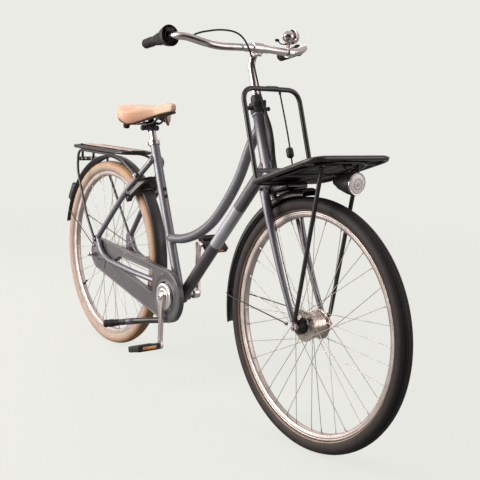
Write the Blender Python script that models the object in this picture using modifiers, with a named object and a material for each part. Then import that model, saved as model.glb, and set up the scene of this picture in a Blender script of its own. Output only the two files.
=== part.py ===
"""A step-through transport bicycle with a front and a rear carrier, at rest with its stand folded.

Metres. +X is forward, +Y is the rider's left, +Z is up, and both wheels stand on z = 0.
"""

import math

import bmesh
import bpy
from mathutils import Matrix, Vector

# Driving sizes
WHEELBASE = 1.180
WHEEL_RADIUS = 0.357
TYRE_HALF = 0.0235
RIM_RADIUS = 0.3165
RIM_HALF = 0.0125
RIM_DEPTH = 0.0165
GUARD_RADIUS = 0.3800
GUARD_HALF = 0.029
GUARD_SHEET = 0.0014
FIT = 0.0003
STEER_LEAN = math.radians(19.0)
FORK_RAKE = 0.084
FORK_LENGTH = 0.439
HEAD_LENGTH = 0.195
HEAD_RADIUS = 0.019
STEERER_RADIUS = 0.0127
QUILL_RADIUS = 0.0110
STAY_LENGTH = 0.5058
CRANK_DROP = 0.062
SEAT_ANGLE = math.radians(68.3)
SEAT_TUBE_LENGTH = 0.5435
SEAT_TUBE_RADIUS = 0.016
DOWN_TUBE_RADIUS = 0.020
TOP_TUBE_RADIUS = 0.016
STAY_RADIUS = 0.010
SHELL_RADIUS = 0.021
SHELL_HALF = 0.034
POST_RADIUS = 0.0125
AXLE_RADIUS = 0.0048
PLATE_Y = 0.070
PLATE_SHEET = 0.005
PITCH = 0.0127
FRONT_TEETH = 38
REAR_TEETH = 19
CHAIN_Y = 0.050
CASE_IN_Y = 0.043
CASE_OUT_Y = 0.060
CASE_SHEET = 0.0016
CRANK_LENGTH = 0.170
CRANK_Y = 0.0755
CRANK_LEFT_Y = 0.0685
CRANK_SHEET = 0.012
PEDAL_LENGTH = 0.088
BAR_RADIUS = 0.011
GRIP_RADIUS = 0.0165
SPOKE_RADIUS = 0.0010
SPOKES = 36
FRONT_FLANGE = 0.043
REAR_FLANGE = 0.033
FLANGE_Y = 0.0275
CARRIER_HALF = 0.145
CARRIER_BACK = 0.080
CARRIER_FRONT = 0.356
CARRIER_TUBE = 0.007
HOOP_HALF = 0.103
HOOP_TOP = 0.251
HOOP_TUBE = 0.0058
RACK_BACK = 0.235
RACK_LENGTH = 0.465
RACK_HALF = 0.070
RACK_Z = 0.758
RACK_TUBE = 0.0065
RAIL_TUBE = 0.005
STAND_DROP = 0.105
STAND_BACK = 0.075
WHEEL_CLEAR = 0.005
SADDLE_LENGTH = 0.280
SADDLE_HALF = 0.106

RIGHT = -1
LEFT = 1

# Colour, roughness and metallic of each finish
FINISHES = {
    "paint": ((0.055, 0.057, 0.072), 0.38, 0.25),
    "black": ((0.012, 0.011, 0.012), 0.35, 0.0),
    "satin black": ((0.020, 0.019, 0.021), 0.55, 0.0),
    "case": ((0.085, 0.080, 0.085), 0.50, 0.0),
    "chrome": ((0.72, 0.68, 0.67), 0.16, 1.0),
    "alloy": ((0.62, 0.55, 0.52), 0.34, 1.0),
    "steel": ((0.40, 0.36, 0.34), 0.38, 1.0),
    "black tyre": ((0.028, 0.024, 0.023), 0.75, 0.0),
    "tan tyre": ((0.42, 0.25, 0.14), 0.75, 0.0),
    "leather": ((0.72, 0.37, 0.22), 0.48, 0.0),
    "strap": ((0.66, 0.42, 0.32), 0.65, 0.0),
    "lens": ((0.85, 0.78, 0.75), 0.10, 0.2),
}

for old in list(bpy.data.objects):
    bpy.data.objects.remove(old)
PARTS = bpy.data.collections.new("step_through_bicycle")
CUTTERS = bpy.data.collections.new("bicycle_cutters")
bpy.context.scene.collection.children.link(PARTS)
bpy.context.scene.collection.children.link(CUTTERS)


# Building tools

def mesh_from(name, bm):
    """A mesh object in the parts collection, with its faces turned outward."""
    bmesh.ops.recalc_face_normals(bm, faces=bm.faces)
    mesh = bpy.data.meshes.new(name)
    bm.to_mesh(mesh)
    bm.free()
    mesh.shade_smooth()
    mesh.set_sharp_from_angle(angle=math.radians(38))
    obj = bpy.data.objects.new(name, mesh)
    PARTS.objects.link(obj)
    return obj


def from_curve(name, curve):
    """The solid of a curve, welded and closed, as a mesh object."""
    guide = bpy.data.objects.new(name + "_curve", curve)
    PARTS.objects.link(guide)
    bpy.context.view_layer.update()
    graph = bpy.context.evaluated_depsgraph_get()
    mesh = bpy.data.meshes.new_from_object(guide.evaluated_get(graph))
    bpy.data.objects.remove(guide)
    bm = bmesh.new()
    bm.from_mesh(mesh)
    bpy.data.meshes.remove(mesh)
    bmesh.ops.remove_doubles(bm, verts=bm.verts, dist=0.00001)
    return mesh_from(name, bm)


def aim(start, end):
    """A matrix at the middle of two points, with Z along them."""
    line = Vector(end) - Vector(start)
    turn = line.to_track_quat("Z", "Y").to_matrix().to_4x4()
    return Matrix.Translation((Vector(start) + Vector(end)) / 2) @ turn


def add_rod(bm, start, end, radius, sides=12, end_radius=None):
    bmesh.ops.create_cone(
        bm,
        cap_ends=True,
        segments=sides,
        radius1=radius,
        radius2=radius if end_radius is None else end_radius,
        depth=(Vector(end) - Vector(start)).length,
        matrix=aim(start, end),
    )


def rod(name, start, end, radius, sides=12, end_radius=None):
    bm = bmesh.new()
    add_rod(bm, start, end, radius, sides, end_radius)
    return mesh_from(name, bm)


def across(name, centre, y_from, y_to, radius, sides=16, end_radius=None):
    """A rod along Y through a point."""
    start = Vector((centre[0], y_from, centre[2]))
    end = Vector((centre[0], y_to, centre[2]))
    return rod(name, start, end, radius, sides, end_radius)


def box(name, centre, size, turn=None, soften=0.0):
    bm = bmesh.new()
    place = Matrix.Translation(Vector(centre)) @ (turn or Matrix.Identity(4))
    bmesh.ops.create_cube(bm, size=1.0, matrix=place @ Matrix.Diagonal((*size, 1.0)))
    if soften:
        bmesh.ops.bevel(bm, geom=bm.edges[:], offset=soften, segments=2, profile=0.5, affect="EDGES")
    return mesh_from(name, bm)


def pipe(name, points, radius, sides=12, scales=None, closed=False):
    """A round tube through the points, solid, with flat ends."""
    curve = bpy.data.curves.new(name, "CURVE")
    curve.dimensions = "3D"
    curve.bevel_depth = radius
    curve.bevel_resolution = (sides - 4) // 2
    curve.use_fill_caps = not closed
    spline = curve.splines.new("POLY")
    spline.points.add(len(points) - 1)
    for index, point in enumerate(points):
        spline.points[index].co = (*point, 1.0)
        if scales:
            spline.points[index].radius = scales[index]
    spline.use_cyclic_u = closed
    return from_curve(name, curve)


def plate(name, loops, y_from, y_to):
    """A plate in the XZ plane; the first loop is its outline, the others are openings."""
    curve = bpy.data.curves.new(name, "CURVE")
    curve.dimensions = "2D"
    curve.fill_mode = "BOTH"
    curve.extrude = abs(y_to - y_from) / 2
    for loop in loops:
        spline = curve.splines.new("POLY")
        spline.points.add(len(loop) - 1)
        for index, point in enumerate(loop):
            spline.points[index].co = (point[0], point[1], 0.0, 1.0)
        spline.use_cyclic_u = True
    obj = from_curve(name, curve)
    turn = Matrix.Rotation(math.pi / 2, 4, "X")
    obj.data.transform(Matrix.Translation((0, (y_from + y_to) / 2, 0)) @ turn)
    return obj


def turned(name, profile, steps, matrix, angle=2 * math.pi, sheet=0.0, closed=True):
    """A profile of (radius, height) turned about the Z axis of the matrix."""
    bm = bmesh.new()
    corners = [bm.verts.new((radius, 0.0, height)) for radius, height in profile]
    ends = corners[1:] + corners[:1] if closed else corners[1:]
    for first, second in zip(corners, ends):
        bm.edges.new((first, second))
    mesh = bpy.data.meshes.new(name)
    bm.to_mesh(mesh)
    bm.free()
    obj = bpy.data.objects.new(name, mesh)
    PARTS.objects.link(obj)
    obj.matrix_world = matrix
    screw = obj.modifiers.new("turn", "SCREW")
    screw.angle = angle
    screw.steps = steps
    screw.render_steps = steps
    screw.use_merge_vertices = True
    screw.merge_threshold = 0.00001
    screw.use_smooth_shade = True
    if sheet:
        shell = obj.modifiers.new("sheet", "SOLIDIFY")
        shell.thickness = sheet
        shell.offset = 0.0
    return obj


def apply(obj):
    """Turns the live modifiers of a helper into its mesh."""
    bpy.context.view_layer.update()
    graph = bpy.context.evaluated_depsgraph_get()
    mesh = bpy.data.meshes.new_from_object(obj.evaluated_get(graph))
    obj.modifiers.clear()
    obj.data = mesh
    return obj


def combine(obj, tools, operation, solver="EXACT"):
    for tool in tools:
        PARTS.objects.unlink(tool)
        CUTTERS.objects.link(tool)
        tool.name = "cut_" + tool.name
        tool.hide_render = True
        tool.display_type = "WIRE"
        change = obj.modifiers.new(operation.lower(), "BOOLEAN")
        change.operation = operation
        change.solver = solver
        change.object = tool
        bpy.context.view_layer.update()
        tool.parent = obj
        tool.matrix_parent_inverse = obj.matrix_world.inverted()
    return obj


def fuse(obj, *tools):
    return combine(obj, tools, "UNION")


def cut(obj, *tools, solver="EXACT"):
    return combine(obj, tools, "DIFFERENCE", solver)


def finish(obj, finish_name, frame):
    """Gives the piece its own material and its place under a frame."""
    colour, roughness, metallic = FINISHES[finish_name]
    paint = bpy.data.materials.new(obj.name)
    paint.use_nodes = True
    shader = paint.node_tree.nodes["Principled BSDF"]
    shader.inputs["Base Color"].default_value = (*colour, 1.0)
    shader.inputs["Roughness"].default_value = roughness
    shader.inputs["Metallic"].default_value = metallic
    paint.diffuse_color = (*colour, 1.0)
    obj.data.materials.clear()
    obj.data.materials.append(paint)
    world = obj.matrix_world.copy()
    obj.parent = frame
    obj.matrix_parent_inverse = frame.matrix_world.inverted()
    obj.matrix_world = world
    return obj


def frame_at(name, point, parent=None, turn=None):
    """An empty on a joint axis."""
    empty = bpy.data.objects.new(name, None)
    empty.empty_display_size = 0.05
    PARTS.objects.link(empty)
    world = Matrix.Translation(Vector(point)) @ (turn or Matrix.Identity(4))
    if parent:
        empty.parent = parent
        empty.matrix_parent_inverse = parent.matrix_world.inverted()
    empty.matrix_world = world
    bpy.context.view_layer.update()
    return empty


# Paths

def mirrored(point, side):
    return Vector((point[0], side * point[1], point[2]))


def smooth(points, per):
    """A curve through all the points, with a number of steps between each pair."""
    path = []
    padded = [2 * points[0] - points[1], *points, 2 * points[-1] - points[-2]]
    for i in range(1, len(padded) - 2):
        a, b, c, d = padded[i - 1:i + 3]
        for step in range(per):
            t = step / per
            path.append(
                0.5 * (2 * b + (c - a) * t + (2 * a - 5 * b + 4 * c - d) * t ** 2
                       + (3 * b - a - 3 * c + d) * t ** 3)
            )
    path.append(Vector(points[-1]))
    return path


def rounded(points, reach, per=4, closed=False):
    """The polyline with each corner rounded off over the reach."""
    points = [Vector(point) for point in points]
    count = len(points)
    path = []
    for i in range(count):
        if not closed and i in (0, count - 1):
            path.append(points[i])
            continue
        before, here, after = points[i - 1], points[i], points[(i + 1) % count]
        size = min(reach, 0.48 * (before - here).length, 0.48 * (after - here).length)
        start = here + (before - here).normalized() * size
        end = here + (after - here).normalized() * size
        for step in range(per + 1):
            t = step / per
            path.append((1 - t) ** 2 * start + 2 * t * (1 - t) * here + t * t * end)
    return path


def circle(centre, radius, steps, start=0.0):
    """Points of a circle in the XZ plane, as pairs."""
    turns = [start + 2 * math.pi * i / steps for i in range(steps)]
    return [(centre[0] + radius * math.cos(a), centre[1] + radius * math.sin(a)) for a in turns]


def belt(first, first_radius, second, second_radius, steps):
    """The outline of a belt round two circles in the XZ plane, as pairs."""
    reach = math.hypot(second[0] - first[0], second[1] - first[1])
    lie = math.atan2(second[1] - first[1], second[0] - first[0])
    open_by = math.acos((first_radius - second_radius) / reach)
    outline = []
    for i in range(steps + 1):
        a = lie + open_by + (2 * math.pi - 2 * open_by) * i / steps
        outline.append((first[0] + first_radius * math.cos(a), first[1] + first_radius * math.sin(a)))
    for i in range(steps // 2 + 1):
        a = lie - open_by + 2 * open_by * i / (steps // 2)
        outline.append((second[0] + second_radius * math.cos(a), second[1] + second_radius * math.sin(a)))
    return outline


# Main points
REAR_AXLE = Vector((-WHEELBASE / 2, 0, WHEEL_RADIUS))
FRONT_AXLE = Vector((WHEELBASE / 2, 0, WHEEL_RADIUS))
CRANK_AXIS = REAR_AXLE + Vector((math.sqrt(STAY_LENGTH ** 2 - CRANK_DROP ** 2), 0, -CRANK_DROP))
SEAT_WAY = Vector((-math.cos(SEAT_ANGLE), 0, math.sin(SEAT_ANGLE)))
SEAT_TOP = CRANK_AXIS + SEAT_WAY * SEAT_TUBE_LENGTH
STEER_TURN = Matrix.Rotation(-STEER_LEAN, 4, "Y")
STEER_FOOT = FRONT_AXLE - STEER_TURN @ Vector((FORK_RAKE, 0, -FORK_LENGTH))
STEER = Matrix.Translation(STEER_FOOT) @ STEER_TURN
TO_RIGHT = Matrix.Rotation(math.pi / 2, 4, "X")
BACK_WAY = (REAR_AXLE - CRANK_AXIS).normalized()
UP_WAY = Vector((-BACK_WAY.z, 0, BACK_WAY.x)) * -1


def steer(x, y, z):
    """A point given in the steering frame: x ahead of the axis, z along it."""
    return STEER @ Vector((x, y, z))


def by_crank(along, up, y=0.0):
    """A point given along the line from the crank to the rear axle."""
    return CRANK_AXIS + BACK_WAY * along + UP_WAY * up + Vector((0, y, 0))


def by_axle(ahead, up, y=0.0):
    return REAR_AXLE + Vector((ahead, y, up))


def wheel_angle(centre, degrees, radius, y=0.0):
    a = math.radians(degrees)
    return centre + Vector((radius * math.cos(a), y, radius * math.sin(a)))


BICYCLE = frame_at("bicycle", (0, 0, 0))
STEERING = frame_at("steering", STEER_FOOT, BICYCLE, STEER_TURN)
FRONT_WHEEL = frame_at("front_wheel", FRONT_AXLE, STEERING)
REAR_WHEEL = frame_at("rear_wheel", REAR_AXLE, BICYCLE)
REAR_DRIVE = frame_at("rear_drive", REAR_AXLE, BICYCLE)
CRANKS = frame_at("cranks", CRANK_AXIS, BICYCLE)
SEAT = frame_at("seat", SEAT_TOP, BICYCLE, Matrix.Rotation(SEAT_ANGLE - math.pi / 2, 4, "Y"))


# Clearances round the main tubes, cut from whatever meets them

def seat_tube_space():
    return rod("seat_tube_space", CRANK_AXIS, SEAT_TOP, SEAT_TUBE_RADIUS + FIT, 20)


def shell_space():
    return across("shell_space", CRANK_AXIS, -0.060, 0.060, SHELL_RADIUS + FIT, 20)


def head_space():
    return rod("head_space", steer(0, 0, -0.02), steer(0, 0, HEAD_LENGTH + 0.02), HEAD_RADIUS + FIT, 20)


# Frame
cup = HEAD_RADIUS + 0.0025
wide = STEERER_RADIUS + 0.0030
head_profile = [
    (STEERER_RADIUS + FIT, HEAD_LENGTH), (cup, HEAD_LENGTH), (cup, HEAD_LENGTH - 0.008),
    (HEAD_RADIUS, HEAD_LENGTH - 0.011), (HEAD_RADIUS, 0.011), (cup, 0.008), (cup, 0.0),
    (STEERER_RADIUS + FIT, 0.0), (wide, 0.012), (wide, HEAD_LENGTH - 0.012),
]
head_tube = turned("head_tube", head_profile, 18, STEER)
finish(head_tube, "paint", BICYCLE)

seat_tube = rod("seat_tube", CRANK_AXIS, SEAT_TOP, SEAT_TUBE_RADIUS, 20)
fuse(seat_tube, across("shell", CRANK_AXIS, -SHELL_HALF, SHELL_HALF, SHELL_RADIUS, 20))
cut(
    seat_tube,
    across("spindle_hole", CRANK_AXIS, -0.05, 0.05, 0.0088, 16),
    rod("post_hole", SEAT_TOP - SEAT_WAY * 0.29, SEAT_TOP + SEAT_WAY * 0.02, POST_RADIUS + FIT, 16),
)
finish(seat_tube, "paint", BICYCLE)

down_start = CRANK_AXIS + Vector((0.008, 0, -0.010))
down_tube = rod("down_tube", down_start, steer(0, 0, 0.038), DOWN_TUBE_RADIUS, 20)
cut(down_tube, shell_space(), seat_tube_space(), head_space(),
    rod("cup_space", steer(0, 0, -0.03), steer(0, 0, 0.0115), cup + FIT, 20))
finish(down_tube, "paint", BICYCLE)

TOP_SHAPE = ((0.0, 0.0), (0.124, 0.077), (0.268, 0.129), (0.42, 0.148), (0.588, 0.129),
             (0.73, 0.093), (0.88, 0.030), (1.0, 0.0))
top_start = CRANK_AXIS + SEAT_WAY * 0.200
top_end = steer(0, 0, 0.158)
chord = top_end - top_start
drop = Vector((chord.z, 0, -chord.x))
top_tube = pipe(
    "top_tube",
    smooth([top_start + chord * u + drop * v for u, v in TOP_SHAPE], 2),
    TOP_TUBE_RADIUS,
    12,
)
cut(top_tube, seat_tube_space(), head_space())
finish(top_tube, "paint", BICYCLE)


def stay_path(side):
    """From the side of the seat tube down to the axle and forward to the bottom bracket."""
    joint = SEAT_TOP - SEAT_WAY * 0.068
    bend = by_axle(0.018, 0.067, 0.072)
    fall = bend - joint
    upper = [
        Vector((joint.x - 0.018, 0.0272, joint.z - 0.015)),
        joint + fall * 0.38 + Vector((0.004, 0.050, 0.018)) - Vector((0, fall.y * 0.38, 0)),
        joint + fall * 0.65 + Vector((0.003, 0.060, 0.014)) - Vector((0, fall.y * 0.65, 0)),
        bend,
    ]
    back = STAY_LENGTH
    lower = [
        by_axle(0.052, 0.010, 0.072),
        by_crank(back - 0.115, 0.007, 0.0722),
        by_crank(back - 0.165, 0.0102, 0.0710),
        by_crank(back - 0.225, 0.0127, 0.0668),
        by_crank(0.205, 0.0150, 0.0570),
        by_crank(0.135, 0.0165, 0.0420),
        by_crank(0.090, 0.0140, 0.0312),
        by_crank(0.010, 0.0080, 0.0215),
    ]
    path = smooth(upper, 2)[:-1] + rounded([upper[-1] * 0.85 + upper[-2] * 0.15, bend, *lower[:2]], 0.028, 2)[1:-1]
    return [mirrored(point, side) for point in path + smooth(lower[1:], 2)]


def stay_space(side):
    return pipe("stay_space", stay_path(side), STAY_RADIUS + FIT, 8)


def stay(side, name):
    obj = pipe(name, stay_path(side), STAY_RADIUS, 8)
    outline = [
        (-0.014, 0.0), (-0.010, -0.012), (0.004, -0.015), (0.070, -0.010), (0.082, 0.002),
        (0.050, 0.020), (0.026, 0.066), (0.006, 0.074), (-0.012, 0.070), (-0.016, 0.055), (-0.014, 0.020),
    ]
    points = [(REAR_AXLE.x + x, REAR_AXLE.z + z) for x, z in outline]
    y_from = side * (PLATE_Y - PLATE_SHEET / 2)
    y_to = side * (PLATE_Y + PLATE_SHEET / 2)
    fuse(obj, plate(name + "_plate", [points], y_from, y_to))
    cut(
        obj,
        across(name + "_hole", REAR_AXLE, -0.1, 0.1, AXLE_RADIUS + FIT, 12),
        seat_tube_space(),
        shell_space(),
    )
    return finish(obj, "paint", BICYCLE)


stay_right = stay(RIGHT, "stay_right")
stay_left = stay(LEFT, "stay_left")

collar_low = SEAT_TOP - SEAT_WAY * 0.016
collar = rod("seat_collar", collar_low, SEAT_TOP + SEAT_WAY * 0.004, SEAT_TUBE_RADIUS + 0.0040, 20)
collar_back = SEAT_TOP + Vector((-0.0235, 0, -0.012))
fuse(collar, box("collar_ear", collar_back, (0.012, 0.016, 0.013)))
cut(collar, seat_tube_space(),
    rod("collar_hole", SEAT_TOP - SEAT_WAY * 0.03, SEAT_TOP + SEAT_WAY * 0.03, POST_RADIUS + FIT, 16))
fuse(collar, across("collar_bolt", collar_back + Vector((-0.001, 0, 0)), -0.014, 0.014, 0.0035, 8))
finish(collar, "chrome", BICYCLE)


# Wheels

def tyre(name, centre, finish_name, frame):
    seat = RIM_RADIUS + FIT
    half = TYRE_HALF
    side = [(seat, RIM_HALF), (seat + 0.0150, half), (WHEEL_RADIUS - 0.0070, half * 0.70)]
    profile = [(r, h) for r, h in side] + [(WHEEL_RADIUS, 0.0)] + [(r, -h) for r, h in reversed(side)]
    obj = turned(name, profile, 48, Matrix.Translation(centre) @ TO_RIGHT)
    return finish(obj, finish_name, frame)


def rim(name, centre, frame):
    inner = RIM_RADIUS - RIM_DEPTH
    profile = [(inner, RIM_HALF * 0.62), (RIM_RADIUS, RIM_HALF), (RIM_RADIUS, -RIM_HALF), (inner, -RIM_HALF * 0.62)]
    obj = turned(name, profile, 48, Matrix.Translation(centre) @ TO_RIGHT)
    return finish(obj, "alloy", frame)


def spokes(name, centre, flange, phase):
    """All spokes of a wheel as one helper: each flange has two families that cross."""
    bm = bmesh.new()
    per_side = SPOKES // 2
    inner = RIM_RADIUS - RIM_DEPTH - FIT - 0.0006
    for side in (RIGHT, LEFT):
        for i in range(per_side):
            family = 1 if i % 2 else -1
            turn = phase + 2 * math.pi * (i + (0.5 if side == LEFT else 0.0)) / per_side
            root = turn - family * 2 * math.pi * 2.6 / per_side
            y_root = side * (FLANGE_Y + 0.0020 * family)
            y_rim = side * (0.0042 + 0.0014 * family)
            start = centre + Vector((flange * math.cos(root), y_root, flange * math.sin(root)))
            end = centre + Vector((inner * math.cos(turn), y_rim, inner * math.sin(turn)))
            add_rod(bm, start, end, SPOKE_RADIUS, 4)
    return mesh_from(name, bm)


def hub(name, centre, profile, flange, frame, phase):
    obj = turned(name, profile, 20, Matrix.Translation(centre) @ TO_RIGHT)
    fuse(obj, spokes(name + "_spokes", centre, flange - 0.0045, phase))
    return finish(obj, "alloy", frame)


def flanged(bore, body, flange, right_end, right_radius, left_end, left_radius):
    """The profile of a hub, heights measured to the right."""
    outer, inner = FLANGE_Y + 0.0016, FLANGE_Y - 0.0016
    return [
        (bore, right_end), (right_radius, right_end), (right_radius + 0.003, outer), (flange, outer), (flange, inner),
        (body, inner - 0.003), (body, -inner + 0.003), (flange, -inner), (flange, -outer),
        (left_radius + 0.003, -outer), (left_radius, -left_end), (bore, -left_end),
    ]


bore = AXLE_RADIUS + 0.0005
tyre("front_tyre", FRONT_AXLE, "black tyre", FRONT_WHEEL)
rim("front_rim", FRONT_AXLE, FRONT_WHEEL)
hub("front_hub", FRONT_AXLE, flanged(bore, 0.036, FRONT_FLANGE, 0.0345, 0.024, 0.0345, 0.024),
    FRONT_FLANGE, FRONT_WHEEL, 0.06)
tyre("rear_tyre", REAR_AXLE, "tan tyre", REAR_WHEEL)
rim("rear_rim", REAR_AXLE, REAR_WHEEL)
LOCK_PHASE = math.radians(5.0)
hub("rear_hub", REAR_AXLE, flanged(bore, 0.027, REAR_FLANGE, 0.0432, 0.018, 0.0520, 0.020),
    REAR_FLANGE, REAR_WHEEL, LOCK_PHASE)


def nut(name, centre, y_from, y_to, radius, sides=6):
    return across(name, centre, y_from, y_to, radius, sides)


rear_axle = across("rear_axle", REAR_AXLE, -0.086, 0.086, AXLE_RADIUS, 12)
fuse(
    rear_axle,
    nut("rear_nut_right", REAR_AXLE, -PLATE_Y - PLATE_SHEET / 2 - FIT, -0.0815, 0.010),
    across("rear_cap", REAR_AXLE, -0.081, -0.105, 0.0105, 12, 0.008),
    nut("rear_nut_left", REAR_AXLE, PLATE_Y + PLATE_SHEET / 2 + FIT, 0.0815, 0.010),
    across("rear_spacer_right", REAR_AXLE, -0.0585, -PLATE_Y + PLATE_SHEET / 2 + FIT, 0.010, 12),
    across("rear_spacer_left", REAR_AXLE, 0.0530, PLATE_Y - PLATE_SHEET / 2 - FIT, 0.010, 12),
)
arm_end = by_crank(STAY_LENGTH - 0.150, 0.0095)
arm_side = (UP_WAY.x * 0.010, UP_WAY.z * 0.010)
arm = [
    (REAR_AXLE.x - 0.016, REAR_AXLE.z), (REAR_AXLE.x, REAR_AXLE.z - 0.016),
    (arm_end.x - arm_side[0] * 0.8, arm_end.z - arm_side[1] * 0.8),
    (arm_end.x + arm_side[0] * 0.8, arm_end.z + arm_side[1] * 0.8),
    (REAR_AXLE.x + 0.004, REAR_AXLE.z + 0.017),
]
fuse(rear_axle, plate("brake_arm", [arm], 0.0560, 0.0590))
finish(rear_axle, "steel", BICYCLE)

# Chain drive
front_pitch = PITCH / (2 * math.sin(math.pi / FRONT_TEETH))
rear_pitch = PITCH / (2 * math.sin(math.pi / REAR_TEETH))
crank_xz = (CRANK_AXIS.x, CRANK_AXIS.z)
rear_xz = (REAR_AXLE.x, REAR_AXLE.z)


def toothed(name, centre, teeth, pitch_radius, hole):
    outline = []
    for i in range(teeth):
        for part, radius in ((0.0, pitch_radius - 0.0042), (0.40, pitch_radius + 0.0014), (0.60, pitch_radius + 0.0014)):
            a = 2 * math.pi * (i + part) / teeth
            outline.append((centre[0] + radius * math.cos(a), centre[1] + radius * math.sin(a)))
    return plate(name, [outline, circle(centre, hole, 14)], -CHAIN_Y - 0.0012, -CHAIN_Y + 0.0012)


chainring = toothed("chainring", crank_xz, FRONT_TEETH, front_pitch, 0.0188)
finish(chainring, "alloy", CRANKS)
sprocket = toothed("rear_sprocket", rear_xz, REAR_TEETH, rear_pitch, AXLE_RADIUS + 0.0012)
sprocket_boss = [(AXLE_RADIUS + 0.0006, 0.0578), (0.016, 0.0578), (0.016, 0.0437), (AXLE_RADIUS + 0.0006, 0.0437)]
fuse(sprocket, turned("sprocket_boss", sprocket_boss, 16, Matrix.Translation(REAR_AXLE) @ TO_RIGHT))
finish(sprocket, "steel", REAR_DRIVE)

chain = plate(
    "chain",
    [belt(crank_xz, front_pitch + 0.0044, rear_xz, rear_pitch + 0.0044, 16),
     belt(crank_xz, front_pitch - 0.0040, rear_xz, rear_pitch - 0.0040, 16)],
    -CHAIN_Y - 0.0035, -CHAIN_Y + 0.0035,
)
groove = plate(
    "chain_groove",
    [belt(crank_xz, front_pitch + 0.0030, rear_xz, rear_pitch + 0.0030, 16),
     belt(crank_xz, front_pitch - 0.0060, rear_xz, rear_pitch - 0.0060, 16)],
    -CHAIN_Y - 0.0020, -CHAIN_Y + 0.0020,
)
cut(chain, groove)
finish(chain, "steel", BICYCLE)

CASE_FRONT = 0.0905
CASE_REAR = 0.0600
CASE_OPENING = ((0.1005, 0.0605), (STAY_LENGTH - 0.1644, 0.0385), (STAY_LENGTH - 0.120, -0.0009), (0.0880, -0.0168))


def case_opening(grow):
    """The open middle of the chain case, larger by grow all round."""
    points = [by_crank(along, up) for along, up in CASE_OPENING]
    middle = sum(points, Vector()) / len(points)
    loop = rounded(points, 0.012, 2, closed=True)
    grown = []
    for index, point in enumerate(loop):
        along = (loop[(index + 1) % len(loop)] - loop[index - 1]).normalized()
        out = Vector((along.z, 0, -along.x))
        if out.dot(point - middle) < 0:
            out = -out
        grown.append(point + out * grow)
    return [(point.x, point.z) for point in grown]


def case_half(name, y_face, y_edge, crank_hole, axle_hole):
    """One half: a face with an open middle, and walls round both outlines."""
    obj = plate(name, [belt(crank_xz, CASE_FRONT, rear_xz, CASE_REAR, 18), case_opening(0.0)], y_face, y_edge)
    inside = y_face + (CASE_SHEET if y_edge > y_face else -CASE_SHEET)
    past = y_edge + (0.002 if y_edge > y_face else -0.002)
    cut(
        obj,
        plate(name + "_inside",
              [belt(crank_xz, CASE_FRONT - CASE_SHEET, rear_xz, CASE_REAR - CASE_SHEET, 18),
               case_opening(CASE_SHEET)], inside, past),
        across(name + "_crank_hole", CRANK_AXIS, -0.1, 0.0, crank_hole, 20),
        across(name + "_axle_hole", REAR_AXLE, -0.1, 0.0, axle_hole, 14),
        solver="MANIFOLD",
    )
    return finish(obj, "case", BICYCLE)


seam = CHAIN_Y + 0.0013
case_half("chain_case_outer", -CASE_OUT_Y, -seam - FIT, 0.0515, 0.022)
case_inner = case_half("chain_case_inner", -CASE_IN_Y, -seam, 0.030, 0.026)
combine(case_inner, [box("case_clip", by_crank(0.087, 0.0140, -CASE_IN_Y + 0.0005), (0.018, 0.005, 0.013))],
        "UNION", "MANIFOLD")
cut(case_inner, stay_space(RIGHT), solver="MANIFOLD")


def crank_arm(name, side, up, middle):
    """An arm that narrows from the boss to the pedal end, with the pedal's axle."""
    tip = CRANK_AXIS.z + up * CRANK_LENGTH
    y_in = side * (middle - CRANK_SHEET / 2)
    y_out = side * (middle + CRANK_SHEET / 2)
    outline = [
        (CRANK_AXIS.x - 0.016, CRANK_AXIS.z), (CRANK_AXIS.x - 0.010, CRANK_AXIS.z - up * 0.014),
        (CRANK_AXIS.x + 0.010, CRANK_AXIS.z - up * 0.014), (CRANK_AXIS.x + 0.016, CRANK_AXIS.z),
        (CRANK_AXIS.x + 0.0095, tip - up * 0.02), (CRANK_AXIS.x + 0.0125, tip),
        (CRANK_AXIS.x + 0.007, tip + up * 0.0115), (CRANK_AXIS.x - 0.007, tip + up * 0.0115),
        (CRANK_AXIS.x - 0.0125, tip), (CRANK_AXIS.x - 0.0095, tip - up * 0.02),
    ]
    return plate(name, [outline], y_in, y_out), Vector((CRANK_AXIS.x, 0, tip)), y_out


crank_right, right_tip, right_out = crank_arm("crank_right", RIGHT, -1, CRANK_Y)
fuse(
    crank_right,
    across("spindle", CRANK_AXIS, 0.0500, -0.045, 0.0085, 16),
    across("crank_boss", CRANK_AXIS, -0.0350, -0.0700, 0.018, 20),
    across("crank_disc", CRANK_AXIS, -0.0625, -0.0700, 0.047, 24, 0.0455),
    across("pedal_axle_right", right_tip, right_out + 0.004, right_out - PEDAL_LENGTH - 0.0085, 0.0048, 12),
)
finish(crank_right, "alloy", CRANKS)
crank_left, left_tip, left_out = crank_arm("crank_left", LEFT, 1, CRANK_LEFT_Y)
fuse(
    crank_left,
    across("crank_boss_left", CRANK_AXIS, 0.0503, CRANK_LEFT_Y + 0.0005, 0.018, 20),
    across("pedal_axle_left", left_tip, left_out - 0.004, left_out + PEDAL_LENGTH + 0.0085, 0.0048, 12),
)
finish(crank_left, "alloy", CRANKS)


def pedal(name, side, tip, y_out):
    frame = frame_at(name + "_axis", (tip.x, y_out + side * 0.05, tip.z), CRANKS)
    centre = Vector((tip.x, y_out + side * (0.0115 + PEDAL_LENGTH / 2), tip.z))
    obj = box(name, centre, (0.072, PEDAL_LENGTH, 0.021), soften=0.003)
    cut(obj, across(name + "_hole", tip, centre.y - side * 0.06, centre.y + side * (PEDAL_LENGTH / 2 - 0.0025),
                    0.0052, 12))
    return finish(obj, "satin black", frame)


pedal("pedal_right", RIGHT, right_tip, right_out)
pedal("pedal_left", LEFT, left_tip, left_out)


# Mudguards

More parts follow.
